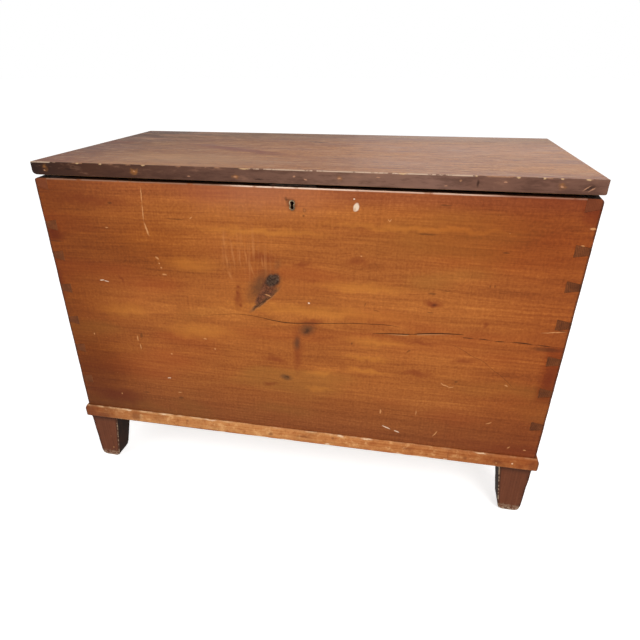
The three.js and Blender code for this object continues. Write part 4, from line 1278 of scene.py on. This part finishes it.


# %% [markdown]
# The lid's top is laid up like the front: the tone of the wood, the painted shade that deepens towards the
# back and the left, scuffs and mottling, one long spill. Its front edge has painted shade of its own along
# its length, darkest at the left end.
# The arris between them is rubbed, most of all where hands took hold of the lid.

# %% The lid's finish
def lid_pine():
    material, start = new_material("lid_shellac")
    point = object_point(start)
    x, y, z = split(point)
    grain = Grain(point, *TREES["lid"])
    streaks = grain.streaks()
    patches = grain.patches(length=0.5, width=0.12)
    fibres = grain.fibres()
    short = grain.streaks(0.11, 3.5 * MM, 3.0)
    mottle = cloud(point, 160, detail=3.0)
    tone = streaks * 0.34 + short * 0.30 + patches * 0.32 + mottle * 0.30 + fibres * 0.18 - 0.20
    colour = tone.node("ShaderNodeValToRGB", {"stops": LID_STOPS}, {0: tone})
    shadow = (x * -1.0 + (y - lid_low.y) * 0.9).rise(0.1, 0.95)
    colour = mix(shadow * (0.8 + patches * 0.4), colour, LID_SHADE, "MULTIPLY")
    colour = mix(x.rise(-0.34, -0.50), colour, LID_END_SHADE, "MULTIPLY")
    back_left = x.rise(-0.28, -0.44) * y.rise(lid_low.y + 0.28, lid_low.y + 0.42)
    colour = mix(back_left, colour, LID_CORNER_SHADE, "MULTIPLY")
    colour = mix(y.rise(lid_low.y + 0.32, lid_low.y + 0.50), colour, LID_BACK_SHADE, "MULTIPLY")
    wide = shaken(point, 26 * MM, 24 * MM)
    fine = shaken(point, 3 * MM, 6 * MM)
    drift = cloud(joined(x * 4, y * 13, z * 13), detail=4.0, rough=0.6)
    colour = mix(drift.rise(0.52, 0.66) * 0.45, colour, LID_REDDER)
    colour = mix(drift.rise(0.46, 0.32) * 0.4, colour, LID_PALER)
    scuffs = cloud(joined(x * 20, y * 110, z * 110), detail=5.0, rough=0.7)
    colour = mix(scuffs.rise(0.52, 0.68) * 0.42, colour, SCUFF_LIGHT)
    colour = mix(scuffs.rise(0.48, 0.34) * 0.34, colour, SCUFF_DARK)
    mottled = cloud(joined(x * 34, y * 70, z * 70), detail=4.0, rough=0.75)
    colour = mix(mottled.rise(0.52, 0.70) * 0.5, colour, MOTTLE_LIGHT)
    colour = mix(mottled.rise(0.48, 0.32) * 0.5, colour, MOTTLE_DARK)
    spill = leaf(wide, on_lid(-150, 208), (0.230, 0.030, 1.0), math.radians(-27), 0.85, flat=2)
    colour = mix(spill * (0.55 + mottled * 0.4), colour, SPILL)
    worn_front = leaf(wide, on_lid(-210, 90), (0.26, 0.13, 1.0), 0.0, 1.0, flat=2)
    colour = mix(worn_front * 0.4, colour, LID_WORN)
    knot = leaf(wide, on_lid(-15, 353), (0.034, 0.010, 1.0), math.radians(-20), 0.7, flat=2)
    colour = mix(knot * 0.7, colour, LID_KNOT)
    scratch = leaf(fine, on_lid(-120, 263), (0.012, 0.0018, 1.0), math.radians(15), 0.6, flat=2)
    colour = mix(scratch * 0.6, colour, SCRATCH)

    # Painted shade along the front edge: darkest at the left end and lightest towards the middle right
    share = (x + HALF_WIDTH) / (2 * HALF_WIDTH)
    edge_shaded_colour = share.node("ShaderNodeValToRGB", {"stops": LID_EDGE_SHADE_STOPS}, {0: share})
    blotch = cloud(joined(x * 16, 1.0, z * 70), detail=4.0, rough=0.7)
    edge_shaded_colour = mix(blotch.rise(0.54, 0.36) * 0.45, edge_shaded_colour, EDGE_BLOTCH_DARK)
    edge_shaded_colour = mix(blotch.rise(0.54, 0.70) * 0.35, edge_shaded_colour, EDGE_BLOTCH_LIGHT)
    front_edge = y.rise(lid_low.y + 2.0 * MM, lid_low.y + 1.0 * MM)
    colour = mix(front_edge, colour, edge_shaded_colour)
    colour = mix(front_edge * marks(fine, LID_EDGE_DARK, 0.8, on_lid_edge) * 0.75, colour, EDGE_BLACK)
    ragged = shaken(point, 14 * MM, 9 * MM, detail=4.0)
    gold = front_edge * marks(ragged, LID_EDGE_GOLD, 0.9, on_lid_edge) * blotch.rise(0.35, 0.6)
    colour = mix(gold * 0.85, colour, EDGE_GOLD)
    colour = mix(front_edge * marks(fine, LID_EDGE_PALE, 0.7, on_lid_edge) * 0.7, colour, EDGE_PALE)

    rub = edge_nearness(point, lid_low, lid_high, 2.6 * MM) * z.rise(lid_high.z - 3 * MM, lid_high.z - 1 * MM)
    bare = x.rise(-0.14, -0.02) * x.rise(0.312, 0.306)
    left_end = x.rise(-0.450, -0.470)
    chance = cloud(joined(x * 34, y * 34, z * 34), detail=4.0, rough=0.65) + bare.most(left_end) * 0.14
    rub_colour = mix(bare.most(left_end), RUB_TAN, RUB_BARE)
    colour = mix(rub * chance.rise(0.54, 0.62) * 0.75, colour, rub_colour)
    chips = 0.0
    for chip_x, half, depth in LID_CHIPS:
        size = (half * MM, CHIP_DEPTH, CHIP_DEPTH)
        chips = leaf(fine, (chip_x * MM, lid_low.y + MM, lid_high.z - MM), size, edge=0.6, under=chips)
    colour = mix(chips * 0.75, colour, CHIP_PALE)
    nicks = cloud(shaken(point, 5 * MM, 6 * MM), scale=90, detail=0.0).rise(0.8, 0.88)
    colour = mix(nicks * 0.35, colour, NICK_PALE)
    roughness = 0.22 + patches * 0.2 + short * 0.24 + mottle * 0.1
    relief = fibres * 0.4 + streaks * 0.5 + mottle * 0.3 - nicks
    finish_wood(start, colour, roughness, relief, depth=0.6 * MM, mirror=LID_FILM)
    return material


lid_face = lid_pine()
lid_ends = end_grain("lid_end_grain", "lid ends", LID_END_DARK, LID_END_LIGHT)
lid_under = bare_pine("lid_underside", "lid underside")
print("the lid's finish takes", len(lid_face.node_tree.nodes), "nodes")

# %% The lid's worn board
# How far apart the lid's mesh is scored along its length, its depth and its height
LID_SCORES = (5 * MM, 30 * MM, 6 * MM)
LID_ARRIS, LID_LOWER_ARRIS = 1.6 * MM, 0.7 * MM
CHIP_REACH = 2.5 * MM
CHIP_PRESS = 0.6
# Each worn corner: which end, lower or upper, the two ways inwards, its radius and how far it fades
LID_CORNERS = [
    (-1, 0, (1, 0, 1), 12 * MM, 60 * MM),
    (-1, 1, (1, 0, -1), 3 * MM, 60 * MM),
    (1, 0, (-1, 0, 1), 4.5 * MM, 40 * MM),
    (-1, 1, (1, 1, 0), 4 * MM, 200 * MM),
    (1, 1, (-1, 1, 0), 3 * MM, 200 * MM),
]
UNDER_TILT = 0.6


def chip_arris(bm, chips):
    """Presses the lid's top front arris in at each chip."""
    for vert in bm.verts:
        if vert.co.y > lid_low.y + CHIP_REACH or vert.co.z < lid_high.z - CHIP_REACH:
            continue
        for x, half, depth in chips:
            share = 1 - ((vert.co.x / MM - x) / half) ** 2
            if share > 0:
                vert.co += Vector((0, 1, -1)) * (depth * CHIP_PRESS * share * MM)


def lid_board():
    bm = solid_copy("lid_board")
    low, high = span_of(bm)
    for axis, pitch in enumerate(LID_SCORES):
        score(bm, axis, steps(low[axis], high[axis], pitch))

    def on_rim(place):
        upright = near(abs(place.x), HALF_WIDTH) and (near(place.y, low.y) or near(place.y, high.y))
        return near(place.z, high.z) or upright

    worn = ease(bm, arrises(bm, on_rim), LID_ARRIS, 2)
    ease(bm, arrises(bm, lambda place: near(place.z, low.z)), LID_LOWER_ARRIS, 1)
    knock(worn, "lid")
    chip_arris(bm, LID_CHIPS)
    for end, upper, inward, radius, fade in LID_CORNERS:
        corner = Vector((end * HALF_WIDTH, low.y, high.z if upper else low.z))
        round_corner(bm, corner, inward, radius, fade)
    finishes = [lid_face, lid_ends, lid_under]
    for face in bm.faces:
        if abs(face.normal.x) > END_TILT:
            face.material_index = finishes.index(lid_ends)
        elif face.normal.z < -UNDER_TILT:
            face.material_index = finishes.index(lid_under)
    return publish(bm, "lid_board", finishes)


print("the lid has", len(lid_board().data.polygons), "faces")

# %% [markdown]
# ## Moulding and feet
# The base moulding is a lighter piece of pine and kept its orange, with pale wood showing where its edges
# were kicked. The feet stand in the dust and are the darkest wood on the chest.

# %% The moulding's paints and marks
MOULDING_STOPS = [
    (0.3, paint(160, 88, 42)),
    (0.45, paint(190, 120, 66)),
    (0.58, paint(210, 146, 88)),
    (0.72, paint(230, 174, 116)),
]
MOULDING_SIDE_STOPS = [
    (0.3, paint(122, 64, 31)),
    (0.45, paint(150, 84, 43)),
    (0.58, paint(168, 99, 54)),
    (0.72, paint(190, 122, 70)),
]
ORANGE_BLOTCH, PALE_BLOTCH = paint(150, 76, 32), paint(236, 184, 124)
# What is left of the light at the right end and at the left end
RIGHT_SHADE, LEFT_SHADE = (0.62, 0.44, 0.34, 1.0), (0.50, 0.36, 0.32, 1.0)
KICK_DARK, KICK_PALE = paint(112, 56, 30), paint(238, 206, 168)
# The top arris's pale, partly rubbed wood and partly a painted highlight, and the rubbed lower edge
TOP_ARRIS_PALE, FOOT_RUBBED = paint(232, 190, 142), paint(228, 186, 142)
# The painted shade along the lower edge, and the brown at the mitred ends
UNDER_SHADE_BROWN, MITRE_BROWN = paint(104, 54, 28), paint(74, 38, 22)
# Each mark: x, height, half length, half width, turn
MOULDING_PALE = [
    (-403, 27, 9, 1.6, 0), (-314, 27, 8, 1.6, 0), (103, 26.5, 10, 2.4, 0), (75, 3, 8, 5, 0),
    (231, 2, 11, 3.5, 0), (278, 1.5, 30, 2.8, 0), (-20, 1.5, 24, 2.6, 0), (-80, 1.5, 30, 2.4, 0),
    (465, 13, 2.4, 2.4, 0), (160, 27, 16, 1.4, 0), (-200, 27, 20, 1.3, 0), (400, 27, 14, 1.3, 0),
    (330, 3, 6, 2.4, 0), (-170, 2, 10, 2, 0),
]
MOULDING_DARK = [
    (-385, 14, 22, 13, 0), (-391, 14, 1.6, 15, 0), (-255, 20, 5, 4, 0), (86, 20, 5, 4, 0), (-55, 12, 8, 6, 0),
    (334, 14, 1.5, 16, 0), (370, 12, 6, 6, 0), (436, 13, 13, 6, 0), (-505, 12, 26, 30, 0),
    (-470, 8, 26, 10, 0), (20, 16, 20, 4, 0), (505, 12, 14, 20, 0), (250, 18, 18, 3, 0),
]
print(len(MOULDING_PALE), "pale and", len(MOULDING_DARK), "dark marks along the moulding")


# %% The moulding's finish
def on_moulding(x, height):
    return (x * MM, moulding_low.y, moulding_low.z + height * MM)


def kicked(colour, point):
    """The knocks and worn arrises of the front moulding, its painted shade at the ends and along the lower
    edge, and a painted highlight on its top arris.
    """
    x, y, z = split(point)
    fine = shaken(point, 4 * MM, 7 * MM)
    blotch = cloud(point, 55, detail=4.0, rough=0.65)
    colour = mix(blotch.rise(0.52, 0.68) * 0.5, colour, ORANGE_BLOTCH)
    colour = mix(blotch.rise(0.46, 0.32) * 0.5, colour, PALE_BLOTCH)
    colour = mix(x.rise(0.20, HALF_WIDTH), colour, RIGHT_SHADE, "MULTIPLY")
    colour = mix(x.rise(-0.34, -HALF_WIDTH), colour, LEFT_SHADE, "MULTIPLY")
    colour = mix(marks(fine, MOULDING_DARK, 0.8, on_moulding) * 0.55, colour, KICK_DARK)
    # The top arris: rubbed pale in places, and painted lighter as a highlight on its round
    top = z.rise(moulding_high.z - 3.5 * MM, moulding_high.z - 1.0 * MM)
    ragged = cloud(joined(x * 30, y * 30, z * 30), detail=4.0, rough=0.65)
    lost = 1 - x.rise(0.0, 0.2) * 0.75
    colour = mix(top * lost * (0.12 + ragged.rise(0.45, 0.6) * 0.6), colour, TOP_ARRIS_PALE)
    # Painted shade along the moulding's lower edge
    under = z.rise(moulding_low.z + 4.5 * MM, moulding_low.z + 1.5 * MM)
    colour = mix(under * (0.25 + x.rise(-0.05, -0.25) * 0.4), colour, UNDER_SHADE_BROWN)
    foot_line = z.rise(moulding_low.z + 3.5 * MM, moulding_low.z + 1.0 * MM) * ragged.rise(0.55, 0.62)
    colour = mix(foot_line * 0.6, colour, FOOT_RUBBED)
    colour = mix(marks(fine, MOULDING_PALE, 0.6, on_moulding) * 0.85, colour, KICK_PALE)
    end = x.size().rise(moulding_high.x - 7 * MM, moulding_high.x - 2 * MM)
    return mix(end * 0.7, colour, MITRE_BROWN)


moulding_front_face = varnished_pine(
    "moulding_front_shellac", "moulding front", MOULDING_STOPS, marked=kicked)
moulding_side_face = varnished_pine("moulding_side_shellac", "moulding sides", MOULDING_SIDE_STOPS)
print("the moulding's finish takes", len(moulding_front_face.node_tree.nodes), "nodes")

# %% The worn moulding
MOULDING_PITCH = 8 * MM
MOULDING_ARRIS = 0.5 * MM
MOULDING_CORNER = 6 * MM
UPRIGHT_FADE, LEVEL_FADE = 200 * MM, 40 * MM


def anywhere(place):
    """Any edge will do."""
    return True


def moulding(side, ends, face):
    """One length of the moulding. ends is the axis that it runs along."""
    node = "base_moulding_" + side
    bm = solid_copy(node)
    low, high = span_of(bm)
    score(bm, ends, steps(low[ends], high[ends], MOULDING_PITCH))
    eased = ease(bm, arrises(bm, anywhere), MOULDING_ARRIS, 1)
    knock(eased, "moulding")
    for sign in (-1, 1):
        corner = Vector((sign * moulding_high.x, moulding_low.y, moulding_low.z))
        round_corner(bm, corner, (-sign, 1, 0), MOULDING_CORNER, UPRIGHT_FADE)
        round_corner(bm, corner, (-sign, 0, 1), MOULDING_CORNER, LEVEL_FADE)
        corner.z = moulding_high.z
        round_corner(bm, corner, (-sign, 0, -1), MOULDING_CORNER, LEVEL_FADE)
    return publish(bm, node, [face])


for length in (
    moulding("front", 0, moulding_front_face),
    moulding("left", 1, moulding_side_face),
    moulding("right", 1, moulding_side_face),
):
    print(length.name, "has", len(length.data.polygons), "faces")

# %% [markdown]
# A foot is dark from the floor up and painted in shade from the case down, its lower arrises are chipped, and
# the two faces that look under the chest are painted near black, as painted shade.

# %% The feet's finishes
FOOT_STOPS = [
    (0.3, paint(90, 48, 31)),
    (0.45, paint(105, 58, 37)),
    (0.58, paint(114, 65, 43)),
    (0.74, paint(128, 78, 55)),
]
# The painted shade of the faces that look under the chest
FOOT_SHADE_STOPS = [
    (0.26, paint(26, 17, 12)),
    (0.5, paint(40, 25, 18)),
    (0.78, paint(58, 36, 25)),
]
FLOOR_DIRT, CASE_SHADE = paint(70, 40, 28), paint(44, 26, 19)
RIM_BROWN, RIM_BLACK = paint(66, 36, 24), paint(40, 24, 18)
FOOT_SCUFF, FOOT_CHIP = paint(176, 140, 112), paint(180, 152, 124)
# A foot's width on the floor, and how far its inner and its outer side lean over its height
FOOT_LOW_WIDTH = 51 * MM
FOOT_TAPER = 19 * MM
FOOT_OUTER_TAPER = 4 * MM


def stood_on(colour, point):
    """The feet's dusty lower edges, the painted shade under the moulding, and the pale worn arris on their
    inner side.
    """
    x, y, z = split(point)
    ragged = cloud(point, 40, detail=4.0, rough=0.65)
    colour = mix(z.rise(26 * MM, 0.0) * ragged.rise(0.4, 0.6) * 0.6, colour, FLOOR_DIRT)
    # Painted shade under the moulding, at the top of the foot
    colour = mix(z.rise(CASE_FOOT - 26 * MM, CASE_FOOT - 4 * MM) * 0.75, colour, CASE_SHADE)
    outside = x.size() - z * (FOOT_OUTER_TAPER / CASE_FOOT)
    rim = outside.rise(HALF_WIDTH - 17 * MM, HALF_WIDTH - 7 * MM) * ragged.rise(0.35, 0.6)
    colour = mix(rim * 0.6, colour, RIM_BROWN)
    scuffs = cloud(point, 260, detail=2.0).rise(0.60, 0.70) * z.rise(30 * MM, 4 * MM)
    colour = mix(scuffs * 0.6, colour, FOOT_SCUFF)
    inside = x.size() + z * (FOOT_TAPER / CASE_FOOT) - (HALF_WIDTH - FOOT_LOW_WIDTH)
    dark_rim = outside.rise(HALF_WIDTH - 9 * MM, HALF_WIDTH - 6.5 * MM).most(inside.rise(7 * MM, 4 * MM))
    colour = mix(dark_rim * 0.6, colour, RIM_BLACK)
    chipped = cloud(point, 150, detail=3.0, rough=0.6).rise(0.44, 0.54)
    arris = inside.rise(4.0 * MM, 2.0 * MM).most(z.rise(22 * MM, 8 * MM)) * chipped
    return mix(arris * 0.7, colour, FOOT_CHIP)


foot_face = varnished_pine("foot_shellac", "foot", FOOT_STOPS, rough=0.5, marked=stood_on)
# Painted shade: the feet's faces that look under the chest are painted near black
foot_inner_shade = varnished_pine("foot_inner_dirt", "foot inside", FOOT_SHADE_STOPS, rough=0.7, nicked=0.0)
print("the feet's finish takes", len(foot_face.node_tree.nodes), "nodes")

# %% The worn feet
FOOT_PITCH = 12 * MM
FOOT_ARRIS = 1.4 * MM
INWARD_TILT = 0.7


def foot(node):
    """One foot. Its faces that look towards the middle of the chest take the second finish."""
    bm = solid_copy(node)
    low, high = span_of(bm)
    score(bm, 2, steps(low.z, high.z, FOOT_PITCH))
    eased = ease(bm, arrises(bm, lambda place: place.z < moulding_low.z), FOOT_ARRIS, 2)
    knock(eased, "foot")
    middle = (low + high) / 2
    for face in bm.faces:
        inwards = max(-face.normal.x * middle.x / abs(middle.x), -face.normal.y * middle.y / abs(middle.y))
        face.material_index = int(inwards > INWARD_TILT)
    return publish(bm, node, [foot_face, foot_inner_shade])


for corner in ("front_left", "front_right", "rear_left", "rear_right"):
    print(corner, "foot has", len(foot("foot_" + corner).data.polygons), "faces")

# %% [markdown]
# ## Bottom, battens and ironwork
# What nobody sees until the lid goes up: bare planks and battens, and iron that has gone brown.

# %% Inner wood
plank_face = bare_pine("bare_planks", "planks")
batten_face = bare_pine("bare_battens", "battens")
PLANK_ARRIS, BATTEN_ARRIS = 0.5 * MM, 0.25 * MM


def eased_copy(node, slot, face, amount, segments=1):
    """A node's mesh with all its arrises eased, in one finish."""
    bm = solid_copy(node)
    ease(bm, arrises(bm, anywhere), amount, segments)
    return publish(bm, node, [face])


inner = []
for side in ("front", "rear"):
    inner.append(eased_copy("bottom_plank_" + side, "plank_pine", plank_face, PLANK_ARRIS))
for side in ("left", "right"):
    inner.append(eased_copy("lid_batten_" + side, "batten_pine", batten_face, BATTEN_ARRIS))
print(len(inner), "pieces of inner wood")

# %% Old iron and brass
RUST, TARNISH = paint(112, 62, 34), paint(84, 66, 46)
# Each metal: its darkest and lightest tone, what grows on it, how metallic and how rough it is
METALS = {
    "brown_hinge_iron": (paint(48, 42, 38), paint(92, 84, 76), RUST, 0.85, 0.45),
    "brown_lock_iron": (paint(46, 39, 34), paint(86, 77, 68), RUST, 0.7, 0.5),
    "brown_screw_iron": (paint(54, 48, 44), paint(100, 92, 84), RUST, 0.85, 0.45),
    "dull_spring_steel": (paint(70, 66, 62), paint(130, 126, 120), RUST, 0.95, 0.35),
    "dull_worn_brass": (paint(112, 92, 66), paint(176, 152, 120), TARNISH, 0.8, 0.4),
}


def old_metal(name, dark, light, rust, metallic, rough):
    """Forged or rolled metal under a brown skin, with rust in its hollows."""
    material, start = new_material(name)
    point = object_point(start)
    blotch = cloud(point, scale=160, detail=4.0, rough=0.65)
    pits = cloud(point, scale=900, detail=2.0)
    colour = mix(blotch.rise(0.3, 0.7), dark, light)
    rusty = cloud(point, scale=70, detail=4.0, rough=0.7).rise(0.5, 0.66)
    colour = mix(rusty * 0.7, colour, rust)
    roughness = rough + blotch * 0.2 + rusty * 0.2
    shine = metallic - rusty * metallic * 0.8
    inputs = {"Base Color": colour, "Roughness": roughness, "Metallic": shine}
    finish_surface(start, inputs, pits + blotch, strength=0.3, depth=0.2 * MM)
    return material


hinge_iron, lock_iron, screw_iron, spring_steel, worn_brass = [
    old_metal(name, *look) for name, look in METALS.items()
]
nail_stopping = varnished_pine("nail_stopping", "stopping", MOULDING_STOPS)

# Each piece whose arrises are eased: its slot, its finish, how much is taken off and in how many steps
EASED_METAL = {
    "keyhole_escutcheon": ("worn_brass", worn_brass, 0.35 * MM, 2),
    "lock_plate": ("lock_iron", lock_iron, 0.25 * MM, 1),
    "lock_box": ("lock_iron", lock_iron, 0.2 * MM, 1),
    "strike_plate": ("lock_iron", lock_iron, 0.25 * MM, 1),
}
for side in ("left", "right"):
    for leaf_name in ("case_leaf", "lid_leaf"):
        EASED_METAL[f"hinge_{side}_{leaf_name}"] = ("hinge_iron", hinge_iron, 0.15 * MM, 1)
for node, look in EASED_METAL.items():
    eased_copy(node, *look)
print(len(METALS), "metals, and", len(EASED_METAL), "pieces of metal with eased arrises")

# %% The nodes that keep their own mesh
# The first of these words that a node's name has in it decides its finish
PLAIN_FINISHES = {
    "nail": nail_stopping,
    "spring": spring_steel,
    "screw": screw_iron,
    "hinge": hinge_iron,
    "lock": lock_iron,
}


def finish_plain_nodes():
    """Gives each node that keeps its own mesh the finish that its name asks for."""
    done = 0
    for name, node in frame["nodes"].items():
        if node.hide_render:
            continue
        word = next(word for word in PLAIN_FINISHES if word in name)
        node.data.materials.clear()
        node.data.materials.append(PLAIN_FINISHES[word])
        done += 1
    return done


print(finish_plain_nodes(), "nodes keep their own mesh")
